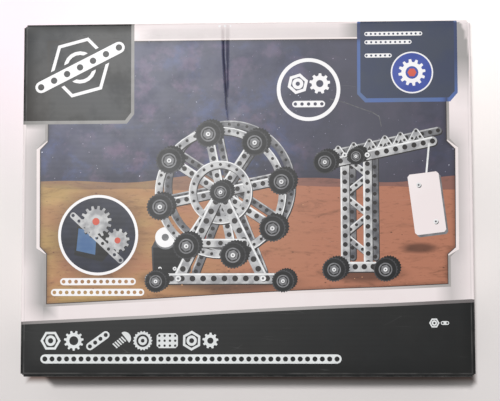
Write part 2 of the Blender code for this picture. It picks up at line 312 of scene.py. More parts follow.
class Lattice:
    """Flat areas cut into triangles along every outline, hole and guide line.

    Where areas overlap, the later one lies on top, as with inks. Areas meet edge to edge, so
    nothing lies over anything else and no gap shows between two inks.
    """

    def __init__(self, areas: Sequence[Area], guides: Sequence[Ring] = ()) -> None:
        """Cuts the areas.

        Args:
            areas: The areas, from the lowest to the topmost.
            guides: Open lines along which the triangles are also cut, so that they can bend.
        """
        points: list[Vector] = []
        edges: list[tuple[int, int]] = []
        faces: list[list[int]] = []
        tags: list[tuple[int, bool]] = []
        for number, area in enumerate(areas):
            for is_hole, ring in [(False, area.outline), *((True, hole) for hole in area.holes)]:
                faces.append(list(range(len(points), len(points) + len(ring))))
                points += [Vector(point) for point in counter_clockwise(ring)]
                tags.append((number, is_hole))
        for line in guides:
            edges += [(at, at + 1) for at in range(len(points), len(points) + len(line) - 1)]
            points += [Vector(point) for point in line]
        cut = delaunay_2d_cdt(points, edges, faces, 0, 1e-5, True)
        self.areas = areas
        self.points: list[Flat] = [(point[0], point[1]) for point in cut[0]]
        self.triangles: list[tuple[int, ...]] = []
        self.owners: list[int] = []
        for corners, inside in zip(cut[2], cut[5]):
            found = {tags[face][0] for face in inside if not tags[face][1]}
            found -= {tags[face][0] for face in inside if tags[face][1]}
            if found:
                (ax, ay), (bx, by), (cx, cy) = (self.points[corner] for corner in corners)
                if (bx - ax) * (cy - ay) - (cx - ax) * (by - ay) < 0.0:
                    corners = (corners[0], corners[2], corners[1])
                self.triangles.append(tuple(corners))
                self.owners.append(max(found))

    def pick(self, **wanted: str) -> list[int]:
        """Gives the numbers of the triangles whose area has the named piece or ink."""
        return [number for number, owner in enumerate(self.owners)
                if all(getattr(self.areas[owner], key) == name for key, name in wanted.items())]

    def corners(self, chosen: Sequence[int]) -> dict[int, int]:
        """Numbers the corners of some triangles, in the order in which they come up."""
        used = dict.fromkeys(corner for number in chosen for corner in self.triangles[number])
        return {corner: place for place, corner in enumerate(used)}

    def mesh(self, chosen: Sequence[int], place: Placing) -> bpy.types.Mesh:
        """Makes a plain mesh of some triangles.

        Args:
            chosen: Their numbers.
            place: Places a flat point.

        Returns:
            The mesh.
        """
        order = self.corners(chosen)
        data = bpy.data.meshes.new("lattice")
        data.from_pydata([tuple(place(self.points[corner])) for corner in order], [],
                         [tuple(order[corner] for corner in self.triangles[number])
                          for number in chosen])
        return data


class Draft:
    """Collects the faces of one piece, each with the finish that it wears."""

    def __init__(self) -> None:
        """Starts an empty draft."""
        self.verts: list[Vector] = []
        self.faces: list[tuple[int, ...]] = []
        self.slots: list[int] = []
        self.finishes: list[bpy.types.Material] = []
        self.values: dict[str, list[float]] = {}

    def face(self, corners: tuple[int, ...], finish: bpy.types.Material) -> None:
        """Adds one face, and its finish where that is new.

        Args:
            corners: Numbers of its corners.
            finish: Its finish.
        """
        if finish not in self.finishes:
            self.finishes.append(finish)
        self.faces.append(corners)
        self.slots.append(self.finishes.index(finish))

    def sheet(self, lattice: Lattice, chosen: Sequence[int], top: Placing, low: Placing,
              finish_of: Callable[[Area], bpy.types.Material],
              values: dict[str, Callable[[Flat], float]] | None = None) -> None:
        """Adds a closed sheet over some triangles of a lattice.

        Args:
            lattice: The flat areas.
            chosen: Numbers of the triangles that the sheet covers.
            top: Places a flat point on the sheet's outer face.
            low: Places a flat point on its inner face.
            finish_of: Gives the finish of an area.
            values: Named values that a finish reads at each point.
        """
        order = lattice.corners(chosen)
        first, drop = len(self.verts), len(order)
        flats = [lattice.points[corner] for corner in order]
        self.verts += [top(flat) for flat in flats] + [low(flat) for flat in flats]
        for name, rule in (values or {}).items():
            self.values.setdefault(name, []).extend([rule(flat) for flat in flats] * 2)
        rims: dict[tuple[int, int], bpy.types.Material] = {}
        for number in chosen:
            finish = finish_of(lattice.areas[lattice.owners[number]])
            a, b, c = (first + order[corner] for corner in lattice.triangles[number])
            self.face((a, b, c), finish)
            self.face((a + drop, c + drop, b + drop), finish)
            for edge in ((a, b), (b, c), (c, a)):
                if rims.pop(edge[::-1], None) is None:
                    rims[edge] = finish
        for (a, b), finish in rims.items():
            self.face((a, a + drop, b + drop, b), finish)

    def mesh(self, other: bpy.types.Mesh, place: Matrix, finish: bpy.types.Material) -> None:
        """Adds a finished mesh.

        Args:
            other: The mesh to add.
            place: Where it goes.
            finish: Finish of all its faces.
        """
        first = len(self.verts)
        self.verts += [place @ vert.co for vert in other.vertices]
        for polygon in other.polygons:
            self.face(tuple(first + corner for corner in polygon.vertices), finish)

    def build(self, name: str, sharp: float = 35.0) -> bpy.types.Object:
        """Makes the piece.

        Args:
            name: Name of the piece.
            sharp: Angle in degrees over which an edge looks sharp.

        Returns:
            The piece, at the origin with its place in its mesh.
        """
        data = bpy.data.meshes.new(name)
        data.from_pydata([tuple(vert) for vert in self.verts], [], self.faces)
        for finish in self.finishes:
            data.materials.append(finish)
        data.polygons.foreach_set("material_index", self.slots)
        for key, column in self.values.items():
            data.attributes.new(key, "FLOAT", "POINT").data.foreach_set("value", column)
        data.shade_smooth()
        data.set_sharp_from_angle(angle=math.radians(sharp))
        data.update()
        piece = bpy.data.objects.new(name, data)
        bpy.context.scene.collection.objects.link(piece)
        return piece


@dataclass(frozen=True)
class Board:
    """One flat board in its place: local u along its run, w across it, t out of its print.

    Past a fold line the pattern goes round an arc about the inner corner of the fold.
    """

    origin: Vector
    run: Vector
    outward: Vector
    near_fold: float | None = None
    far_fold: float | None = None
    near_turn: float = QUARTER
    thickness: float = 1.5

    def place(self, flat: Flat, t: float = 0.0) -> Vector:
        """Places a flat point of the pattern.

        Args:
            flat: The point (u, w) in millimetres.
            t: Height over the printed face in millimetres, negative inwards.

        Returns:
            The point in metres.
        """
        (u, w), rise, radius = flat, t, self.thickness + t
        for line, turn, way in ((self.far_fold, QUARTER, 1.0),
                                (self.near_fold, self.near_turn, -1.0)):
            if line is not None and (u - line) * way > 0.0:
                angle = min((u - line) * way / self.thickness, turn)
                u = line + way * radius * math.sin(angle)
                rise = radius * math.cos(angle) - self.thickness
                break
        across = self.outward.cross(self.run)
        return (self.origin + self.run * u + across * w + self.outward * rise) * MM

    def at(self, t: float) -> Placing:
        """Gives the placing of points at one height over the printed face."""
        return lambda flat: self.place(flat, t)

    @property
    def matrix(self) -> Matrix:
        """Turns local metres (u, w, t) into their place."""
        turn = Matrix((self.run, self.outward.cross(self.run), self.outward)).transposed().to_4x4()
        return Matrix.Translation(self.origin * MM) @ turn


# Node trees


class NodeDesk:
    """Places nodes in one tree and joins them, so that a finish reads as a recipe."""

    def __init__(self, tree: bpy.types.NodeTree) -> None:
        """Takes the tree to work on."""
        self.tree = tree

    def add(self, kind: str, feeds: dict[Any, Any] | None = None, **options: Any) -> Any:
        """Adds a node.

        Args:
            kind: Type of the node.
            feeds: Value or socket for each named or numbered input.
            **options: Settings of the node.

        Returns:
            The node.
        """
        node = self.tree.nodes.new(kind)
        for key, value in options.items():
            setattr(node, key, value)
        self.feed(node, feeds or {})
        return node

    def feed(self, node: Any, feeds: dict[Any, Any]) -> None:
        """Feeds a node's inputs, each from another socket or with a value.

        Args:
            node: The node.
            feeds: Value or socket for each named or numbered input.
        """
        for key, value in feeds.items():
            if isinstance(value, bpy.types.NodeSocket):
                self.tree.links.new(value, node.inputs[key])
            else:
                node.inputs[key].default_value = value

    def take(self, kind: str, feeds: dict[Any, Any] | None = None, **options: Any) -> Any:
        """Adds a node and gives its first output."""
        return self.add(kind, feeds, **options).outputs[0]

    def math(self, operation: str, *values: Any, clamp: bool = False) -> Any:
        """Adds a Math node and gives its result."""
        return self.take("ShaderNodeMath", dict(enumerate(values)), operation=operation,
                         use_clamp=clamp)

    def times(self, first: Any, *others: Any) -> Any:
        """Multiplies values."""
        return reduce(lambda value, other: self.math("MULTIPLY", value, other), others, first)

    def add_up(self, base: Any, *terms: tuple[Any, Any]) -> Any:
        """Adds terms to a value, each of them a mask and its amount."""
        return reduce(lambda value, term: self.math("MULTIPLY_ADD", *term, value), terms, base)

    def beyond(self, value: Any, half: float) -> Any:
        """Says how far a value lies outside a span about zero."""
        return self.math("SUBTRACT", self.math("ABSOLUTE", value), half)

    def vector(self, operation: str, *values: Any) -> Any:
        """Adds a Vector Math node and gives its vector."""
        return self.take("ShaderNodeVectorMath", dict(enumerate(values)), operation=operation)

    def length(self, vector: Any) -> Any:
        """Gives the length of a vector."""
        return self.add("ShaderNodeVectorMath", {0: vector}, operation="LENGTH").outputs["Value"]

    def stretched(self, place: Any, scale: Sequence[float],
                  turn: Sequence[float] = (0, 0, 0)) -> Any:
        """Turns and scales the vector that a pattern is read at."""
        return self.take("ShaderNodeMapping", {"Vector": place, "Rotation": turn, "Scale": scale})

    def coats(self, tone: Any, *coats: tuple[Any, Any]) -> Any:
        """Lays coats over a tone, each with its mask and its colour.

        Args:
            tone: The lowest colour.
            *coats: Mask and colour of each. Three numbers are sRGB, four are linear already.

        Returns:
            The colour with all its coats.
        """
        for mask, colour in coats:
            feeds = {0: mask, 6: linear(tone), 7: linear(colour)}
            tone = self.add("ShaderNodeMix", feeds, data_type="RGBA").outputs[2]
        return tone

    def step(self, value: Any, low: Any, high: Any, to_low: Any = 0.0, to_high: Any = 1.0) -> Any:
        """Takes a value smoothly from one range to another."""
        feeds = {0: value, 1: low, 2: high, 3: to_low, 4: to_high}
        return self.take("ShaderNodeMapRange", feeds, interpolation_type="SMOOTHSTEP")

    def noise(self, place: Any, scale: float, detail: float = 3.0, **feeds: float) -> Any:
        """Adds a Noise Texture and gives its value, at a scale of patches in a millimetre."""
        values = {"Vector": place, "Scale": scale, "Detail": detail, **feeds}
        return self.take("ShaderNodeTexNoise", values)

    def split(self, vector: Any) -> Any:
        """Splits a vector and gives its three parts."""
        return self.add("ShaderNodeSeparateXYZ", {0: vector}).outputs

    def join(self, *parts: Any) -> Any:
        """Joins up to three values into a vector."""
        return self.take("ShaderNodeCombineXYZ", dict(enumerate(parts)))

    def attribute(self, name: str) -> Any:
        """Gives a value that the piece's points carry."""
        return self.add("ShaderNodeAttribute", attribute_name=name).outputs["Fac"]

    def place_mm(self) -> Any:
        """Gives the shaded point on the piece in millimetres."""
        coords = self.add("ShaderNodeTexCoord").outputs["Object"]
        return self.take("ShaderNodeVectorMath", {0: coords, "Scale": 1.0 / MM}, operation="SCALE")

    def bump(self, height: Any, strength: float = 1.0, distance: float = MM) -> Any:
        """Turns a height into a normal."""
        return self.take("ShaderNodeBump",
                         {"Strength": strength, "Distance": distance, "Height": height})


def linear(colour: Any) -> Any:
    """Turns an sRGB colour into the linear RGBA that a shader takes, and leaves the rest alone.

    Args:
        colour: Three sRGB numbers, or a socket or four linear numbers.

    Returns:
        The colour as a shader takes it.
    """
    if isinstance(colour, bpy.types.NodeSocket) or len(colour) == 4:
        return colour
    return *(c / 12.92 if c <= 0.04045 else ((c + 0.055) / 1.055) ** 2.4 for c in colour), 1.0


def new_group(name: str, kind: str, inputs: Sequence[tuple[str, str, Any]],
              outputs: Sequence[tuple[str, str]]) -> tuple[NodeDesk, Any, Any]:
    """Makes a node group with named sockets.

    Args:
        name: Name of the group.
        kind: Type of the tree.
        inputs: Name, type and first value of each input.
        outputs: Name and type of each output.

    Returns:
        A desk on the tree, its input sockets and its output node.
    """
    tree = bpy.data.node_groups.new(name, kind)
    for label, socket, value in inputs:
        made = tree.interface.new_socket(name=label, in_out="INPUT", socket_type=socket)
        if value is not None:
            made.default_value = value
    for label, socket in outputs:
        tree.interface.new_socket(name=label, in_out="OUTPUT", socket_type=socket)
    desk = NodeDesk(tree)
    return desk, desk.add("NodeGroupInput").outputs, desk.add("NodeGroupOutput")


FLOAT, COLOUR, GEOMETRY = "NodeSocketFloat", "NodeSocketColor", "NodeSocketGeometry"


class PrintShop:
    """The effects that several finishes share, each a group of nodes that is built once."""

    def __init__(self, sizes: CartonSizes) -> None:
        """Builds the groups for a carton of these sizes.

        Args:
            sizes: Sizes of the carton.
        """
        self.sizes = sizes
        self.film = self._film()
        self.fibre = self._fibre()

    def _film(self) -> bpy.types.NodeTree:
        """Film lamination: scuffs, hairline scratches, rubbed folds, painted crease shade and
        flutes.

        Returns:
            A group that puts out colour, roughness and height in millimetres.
        """
        desk, feed, result = new_group("film_lamination", "ShaderNodeTree", (
            ("Colour", COLOUR, (0.5, 0.5, 0.5, 1.0)),
            ("Rubbed Colour", COLOUR, (0.6, 0.6, 0.6, 1.0)),
            ("Rubbing", FLOAT, 0.3), ("Crease Shade", FLOAT, 0.5), ("Roughness", FLOAT, 0.42),
        ), (("Colour", COLOUR), ("Roughness", FLOAT), ("Height", FLOAT)))
        place = desk.place_mm()
        x, y, z = desk.split(place)
        half_depth = self.sizes.depth / 2
        over_x = desk.beyond(x, self.sizes.length / 2)
        over_y = desk.beyond(y, self.sizes.height / 2)
        over_z = desk.beyond(desk.math("SUBTRACT", z, half_depth), half_depth)
        folds = [desk.math("MINIMUM", *pair)
                 for pair in ((over_x, over_y), (over_y, over_z), (over_x, over_z))]
        edge = reduce(lambda nearest, fold: desk.math("MAXIMUM", nearest, fold), folds)
        fine = desk.step(desk.noise(place, 1.1), 0.38, 0.55)
        rub = desk.times(desk.step(edge, -1.5, -0.7), desk.step(edge, -0.75, -0.35, 1.0, 0.35),
                         desk.step(desk.noise(place, 0.11, 5.0, Roughness=0.7), 0.36, 0.62),
                         desk.math("MULTIPLY_ADD", fine, 0.6, 0.4))
        rub = desk.math("MULTIPLY", rub, feed["Rubbing"], clamp=True)
        off_score = desk.math("ABSOLUTE", desk.math("ADD", edge, 2.55))
        past_top = desk.step(y, 118.0, 120.0, 1.0, 0.15)
        score = desk.times(desk.step(off_score, 0.62, 0.08),
                           desk.step(desk.noise(place, 0.07), 0.30, 0.62, 0.05, 0.2),
                           desk.step(over_x, -3.2, -4.2, 1.0, past_top))
        bend = desk.add("ShaderNodeTexNoise", {"Vector": place, "Scale": 0.02, "Detail": 1.0})
        bent = desk.vector("ADD", desk.stretched(place, (0.012, 0.11, 0.06), (0.0, 0.0, 0.9)),
                           bend.outputs[1])
        cells = desk.take("ShaderNodeTexVoronoi", {"Vector": bent, "Scale": 1.0},
                          feature="DISTANCE_TO_EDGE")
        hair = desk.times(desk.step(cells, 0.0, 0.006, 1.0, 0.0),
                          desk.step(desk.noise(place, 0.03, 2.0), 0.56, 0.7))
        scuff = desk.step(desk.noise(place, 0.045, 6.0, Roughness=0.65), 0.42, 0.68)
        # Painted shade along the buckle's creases and facet, as strong as the crease shade that the
        # points carry.
        crease_shaded = desk.math("MULTIPLY", desk.attribute("crease_shade"), feed["Crease Shade"], clamp=True)
        rough = desk.add_up(feed["Roughness"], (scuff, 0.03), (rub, 0.2))
        rough = desk.math("ADD", rough, desk.step(over_x, -17.0, -4.0, 0.0, 0.012))
        wave = desk.math("SINE", desk.times(y, math.tau / self.sizes.flute_pitch))
        height = desk.times(desk.noise(place, 0.018, 2.0), 0.12)
        desk.feed(result, {
            "Colour": desk.coats(feed["Colour"], (rub, feed["Rubbed Colour"]),
                                 (score, (0.30, 0.29, 0.28, 1.0)),
                                 (desk.times(hair, 0.10), (0.8, 0.8, 0.8, 1.0)),
                                 # Painted shade of the buckle's creases.
                                 (crease_shaded, (0.006, 0.006, 0.010, 1.0))),
            "Roughness": desk.add_up(rough, (hair, 0.12)),
            "Height": desk.add_up(height, (wave, 0.0016), (desk.noise(place, 2.2, 2.0), 0.0025),
                                  (hair, -0.006), (rub, -0.012), (score, -0.03)),
        })
        return desk.tree

    def _fibre(self) -> bpy.types.NodeTree:
        """Recycled paper: specks, cloudy tone and short fibres.

        Returns:
            A group that puts out colour and height in millimetres.
        """
        desk, feed, result = new_group("recycled_paper", "ShaderNodeTree", (
            ("Colour", COLOUR, (0.3, 0.26, 0.2, 1.0)),
            ("Dark Colour", COLOUR, (0.18, 0.15, 0.11, 1.0)),
            ("Specks", FLOAT, 0.5),
        ), (("Colour", COLOUR), ("Height", FLOAT)))
        place, dark = desk.place_mm(), feed["Dark Colour"]
        along = desk.stretched(place, (0.6, 3.0, 3.0), (0.4, 0.7, 0.5))
        thread = desk.noise(along, 1.0, 4.0, Roughness=0.6, Distortion=0.6)
        dots = desk.step(desk.noise(place, 1.6, 2.0), 0.66, 0.72)
        tone = desk.coats(feed["Colour"],
                          (desk.step(desk.noise(place, 0.12, 4.0), 0.35, 0.7), dark),
                          (desk.times(desk.step(thread, 0.45, 0.7), 0.35), dark),
                          (desk.times(dots, feed["Specks"]), (0.05, 0.045, 0.04, 1.0)))
        desk.feed(result, {"Colour": tone, "Height": desk.times(thread, 0.05)})
        return desk.tree


def new_finish(name: str) -> tuple[bpy.types.Material, NodeDesk, Any]:
    """Makes a material, and gives it with a desk on its tree and its Principled shader.

    Args:
        name: Name of the material.

    Returns:
        The material, a desk on its tree and its shader.
    """
    material = bpy.data.materials.new(name)
    material.use_nodes = True
    return material, NodeDesk(material.node_tree), material.node_tree.nodes["Principled BSDF"]


@dataclass(frozen=True)
class FilmPrint:
    """An ink under the carton's satin film."""

    name: str
    colour: Colour
    mottle: Colour
    mottle_scale: float = 0.06
    rubbing: float = 0.3
    # Strength of the painted shade along the buckle's creases.
    crease_shade: float = 0.75
    roughness: float = 0.335
    shade_colour: Colour | None = None

    def make(self, shop: PrintShop) -> bpy.types.Material:
        """Makes the material.

        Args:
            shop: The shared effects.

        Returns:
            The material.
        """
        material, desk, shader = new_finish(self.name)
        film = desk.add("ShaderNodeGroup", {}, node_tree=shop.film)
        desk.feed(film, {
            "Colour": self.tone(desk), "Rubbed Colour": linear((0.62, 0.61, 0.60)),
            "Rubbing": self.rubbing, "Crease Shade": self.crease_shade, "Roughness": self.roughness,
        })
        desk.feed(shader, {
            "Base Color": film.outputs["Colour"], "Roughness": film.outputs["Roughness"],
            "Normal": desk.bump(film.outputs["Height"]), "Specular IOR Level": 0.19,
        })
        return material

    def tone(self, desk: NodeDesk) -> Any:
        """Gives the print's colour: two tones in patches, and the shade that its points carry.

        Args:
            desk: Desk on the material's tree.

        Returns:
            The colour.
        """
        patch = desk.step(desk.noise(desk.place_mm(), self.mottle_scale, 4.0), 0.35, 0.65)
        coats = [(patch, self.mottle)]
        if self.shade_colour is not None:
            coats.append((desk.attribute("shade"), self.shade_colour))
        return desk.coats(self.colour, *coats)


@dataclass(frozen=True)
class NightField(FilmPrint):
    """The picture's sky: mottled deep blue and violet, paler towards its upper left."""

    blue: Colour = (0.29, 0.35, 0.53)
    violet: Colour = (0.46, 0.38, 0.47)
    pale: Colour = (0.39, 0.41, 0.56)
    right_haze: Colour = (0.33, 0.325, 0.375)
    horizon: Colour = (0.13, 0.12, 0.16)
    edge: Colour = (0.10, 0.09, 0.10)

    def tone(self, desk: NodeDesk) -> Any:
        """Gives the sky's colour: clouds and veils, lighter and darker by their place.

        Args:
            desk: Desk on the material's tree.

        Returns:
            The colour.
        """
        place = desk.place_mm()
        x, y, _ = desk.split(place)
        shift = desk.vector("ADD", place, (310.0, 40.0, 9.0))
        cloud = desk.noise(place, 0.024, 8.0, Roughness=0.62, Distortion=0.5)
        veil = desk.noise(shift, 0.036, 8.0, Roughness=0.66, Distortion=0.3)
        glow = desk.noise(desk.vector("ADD", shift, (95.0, 210.0, 3.0)), 0.052, 8.0, Roughness=0.6)
        leftward = desk.step(x, 90.0, -60.0, 0.25, 1.0)
        corner = desk.math("ADD", y, desk.times(x, -0.55))
        return desk.coats(
            self.colour, (desk.step(cloud, 0.40, 0.60), self.mottle),
            (desk.times(desk.step(veil, 0.48, 0.68), leftward, 0.8), self.blue),
            (desk.times(desk.step(glow, 0.50, 0.66), leftward, 0.75), self.violet),
            (desk.times(desk.step(corner, 20.0, 190.0, 0.0, 0.42),
                        desk.step(veil, 0.3, 0.6, 0.6, 1.0)), self.pale),
            (desk.times(desk.step(x, 30.0, 80.0, 0.0, 0.6), desk.step(x, 104.0, 136.0, 1.0, 0.35)),
             self.right_haze),
            (desk.step(y, 34.0, 6.0, 0.0, 0.35), self.horizon),
            (desk.times(desk.attribute("shade"), 0.65), self.edge))


@dataclass(frozen=True)
class SandField(FilmPrint):
    """The picture's ground: ochre at the left, redder at the right, streaked and stony."""

    shadow: Colour = (0.40, 0.26, 0.18)
    bright: Colour = (0.86, 0.68, 0.42)
    ochre: Colour = (0.72, 0.62, 0.38)
    cast: Colour = (0.20, 0.115, 0.08)
    edge: Colour = (0.22, 0.13, 0.10)
    # Middle and spread of each shadow that the machine and the inset cast on the ground
    shadows: tuple[tuple[Flat, Flat], ...] = (
        ((-12.0, -60.0), (64.0, 9.5)), ((-58.0, -57.0), (22.0, 7.0)), ((84.0, -54.0), (36.0, 8.5)),
        ((122.0, -36.0), (17.0, 5.0)), ((-105.1, -26.6), (42.0, 42.0)),
    )

    def tone(self, desk: NodeDesk) -> Any:
        """Gives the ground's colour: patches, streaks, specks and cast shadows.

        Args:
            desk: Desk on the material's tree.

        Returns:
            The colour.
        """
        place = desk.place_mm()
        x, _, _ = desk.split(place)
        patch = desk.noise(desk.vector("MULTIPLY", place, (0.6, 1.3, 1.0)), 0.028)
        flat = desk.stretched(place, (0.35, 1.2, 1.0))
        streak = desk.noise(flat, 0.10, 7.0, Roughness=0.68, Distortion=0.5)
        speck = desk.noise(flat, 0.55, 4.0, Roughness=0.6)
        coats = [
            (desk.step(x, -110.0, 70.0), self.mottle),
            (desk.step(patch, 0.50, 0.68, 0.0, 0.6), self.mottle),
            (desk.times(desk.step(patch, 0.50, 0.36), desk.step(x, 20.0, -120.0, 0.0, 0.55)),
             self.ochre),
            (desk.step(streak, 0.5, 0.75, 0.0, 0.75), self.shadow),
            (desk.times(desk.step(streak, 0.46, 0.28, 0.0, 0.5), desk.step(x, 60.0, -130.0)),
             self.bright),
            (desk.step(speck, 0.56, 0.70, 0.0, 0.35), self.shadow),
        ]
        for (across, up), (wide, high) in self.shadows:
            off = desk.vector("SUBTRACT", place, (across, up, 60.0))
            far = desk.length(desk.vector("MULTIPLY", off, (1.0 / wide, 1.0 / high, 0.0)))
            coats.append((desk.step(far, 1.0, 0.35, 0.0, 0.72), self.cast))
        coats.append((desk.times(desk.attribute("shade"), 0.6), self.edge))
        return desk.coats(self.colour, *coats)


@dataclass(frozen=True)
class BoardPaper:
    """Unprinted paper of the board, inside the carton and at its cut edges."""

    name: str
    colour: Colour
    dark: Colour
    specks: float = 0.5
    roughness: float = 0.86

    def make(self, shop: PrintShop) -> bpy.types.Material:
        """Makes the material from the shared effects.

        Args:
            shop: The shared effects.

        Returns:
            The material.
        """
        material, desk, shader = new_finish(self.name)
        paper = desk.add("ShaderNodeGroup", {}, node_tree=shop.fibre)
        desk.feed(paper, {"Colour": linear(self.colour), "Dark Colour": linear(self.dark),
                          "Specks": self.specks})
        desk.feed(shader, {
            "Base Color": paper.outputs["Colour"], "Roughness": self.roughness,
            "Normal": desk.bump(paper.outputs["Height"], 0.6), "Specular IOR Level": 0.25,
        })
        return material


class Finishes:
    """Every finish of the carton, by name."""

    # Columns of a print: name, colour, mottled colour, patches a millimetre, rubbing, painted
    # crease shade
    RECIPES: tuple[Any, ...] = (
        FilmPrint("pale_frame", (0.966, 0.92, 0.92), (0.972, 0.93, 0.93), 0.06, 0.12, 0.08,
                  shade_colour=(0.655, 0.64, 0.635)),
        FilmPrint("white_ink", (0.97, 0.96, 0.965), (0.985, 0.98, 0.98), 0.06, 0.1, 0.2),
        FilmPrint("bevel_grey", (0.62, 0.60, 0.59), (0.65, 0.63, 0.62), 0.06, 0.3, 0.3,
                  shade_colour=(0.93, 0.885, 0.88)),
        FilmPrint("bevel_white", (0.94, 0.895, 0.89), (0.955, 0.91, 0.905), 0.06, 0.1, 0.12),
        FilmPrint("band_line", (0.43, 0.40, 0.40), (0.45, 0.43, 0.43), 0.06, 0.3, 0.5,
                  shade_colour=(0.70, 0.68, 0.675)),
        FilmPrint("dark_band", (0.075, 0.08, 0.082), (0.09, 0.092, 0.09), 0.03, 0.16),
        FilmPrint("dark_tile", (0.09, 0.105, 0.12), (0.13, 0.13, 0.12), 0.02, 0.3,
                  roughness=0.345, shade_colour=(0.12, 0.10, 0.075)),
        FilmPrint("tile_rim", (0.58, 0.57, 0.56), (0.54, 0.53, 0.52)),
        FilmPrint("tab_blue", (0.235, 0.265, 0.355), (0.255, 0.28, 0.345), 0.05),
        FilmPrint("tab_border", (0.33, 0.43, 0.66), (0.36, 0.44, 0.60), 0.03,
                  shade_colour=(0.245, 0.285, 0.42)),
        FilmPrint("inset_night", (0.07, 0.085, 0.145), (0.13, 0.145, 0.22), 0.08),
        FilmPrint("steel", (0.60, 0.60, 0.61), (0.80, 0.80, 0.80), 0.16, 0.0),
        FilmPrint("steel_glint", (0.88, 0.88, 0.88), (0.97, 0.97, 0.97), 0.2, 0.0),
        FilmPrint("steel_far", (0.33, 0.33, 0.35), (0.50, 0.50, 0.51), 0.16, 0.0),
        FilmPrint("part_shadow", (0.13, 0.12, 0.125), (0.17, 0.155, 0.15), 0.06, 0.0),
        FilmPrint("part_black", (0.05, 0.05, 0.055), (0.09, 0.09, 0.095), 0.12, 0.0),
        FilmPrint("part_edge", (0.20, 0.20, 0.21), (0.27, 0.27, 0.28), 0.12, 0.0),
        FilmPrint("hub_grey", (0.42, 0.42, 0.43), (0.52, 0.52, 0.53), 0.2, 0.0),
        FilmPrint("cable_red", (0.55, 0.17, 0.13), (0.62, 0.22, 0.17), 0.06, 0.0),
        FilmPrint("soft_white", (0.86, 0.87, 0.87), (0.90, 0.91, 0.91), 0.06, 0.1, 0.2),
        FilmPrint("plate_white", (0.95, 0.905, 0.905), (0.975, 0.94, 0.94), 0.02, 0.0),
        FilmPrint("picture_edge", (0.165, 0.14, 0.145), (0.22, 0.18, 0.17)),
        FilmPrint("star_dim", (0.50, 0.53, 0.64), (0.62, 0.58, 0.66), 0.2, 0.0),
        FilmPrint("star_bright", (0.80, 0.83, 0.92), (0.90, 0.86, 0.86), 0.2, 0.0),
        FilmPrint("pebble_dark", (0.42, 0.27, 0.20), (0.52, 0.34, 0.24), 0.2, 0.0),
        FilmPrint("pebble_light", (0.86, 0.66, 0.48), (0.78, 0.56, 0.42), 0.2, 0.0),
        FilmPrint("chart_grey", (0.36, 0.37, 0.38), (0.42, 0.43, 0.44)),
        FilmPrint("badge_blue", (0.22, 0.30, 0.62), (0.28, 0.35, 0.66)),
        FilmPrint("plate_blue", (0.26, 0.40, 0.58), (0.32, 0.45, 0.60), 0.1),
        FilmPrint("scratched_film", (0.33, 0.33, 0.35), (0.42, 0.42, 0.43), 0.3),
        FilmPrint("badge_red", (0.80, 0.33, 0.26), (0.84, 0.38, 0.30)),
        NightField("night_field", (0.205, 0.21, 0.275), (0.27, 0.27, 0.345)),
        SandField("sand_field", (0.70, 0.53, 0.36), (0.70, 0.46, 0.36), bright=(0.80, 0.64, 0.43)),
        SandField("far_ridge", (0.58, 0.44, 0.33), (0.54, 0.37, 0.33),
                  shadow=(0.36, 0.26, 0.23), bright=(0.68, 0.53, 0.37)),
        BoardPaper("liner_paper", (0.66, 0.61, 0.54), (0.57, 0.52, 0.45)),
        BoardPaper("liner_white", (0.86, 0.84, 0.80), (0.80, 0.78, 0.74), 0.15),
        BoardPaper("flute_paper", (0.60, 0.52, 0.42), (0.48, 0.41, 0.32)),
    )

    def __init__(self, sizes: CartonSizes) -> None:
        """Makes them all for a carton of these sizes."""
        shop = PrintShop(sizes)
        self.made = {recipe.name: recipe.make(shop) for recipe in self.RECIPES}

    def of(self, area: Area) -> bpy.types.Material:
        """Gives the finish of an area."""
        return self.made[area.ink]

    def __getitem__(self, name: str) -> bpy.types.Material:
        """Gives a finish by name."""
        return self.made[name]


# The front panel


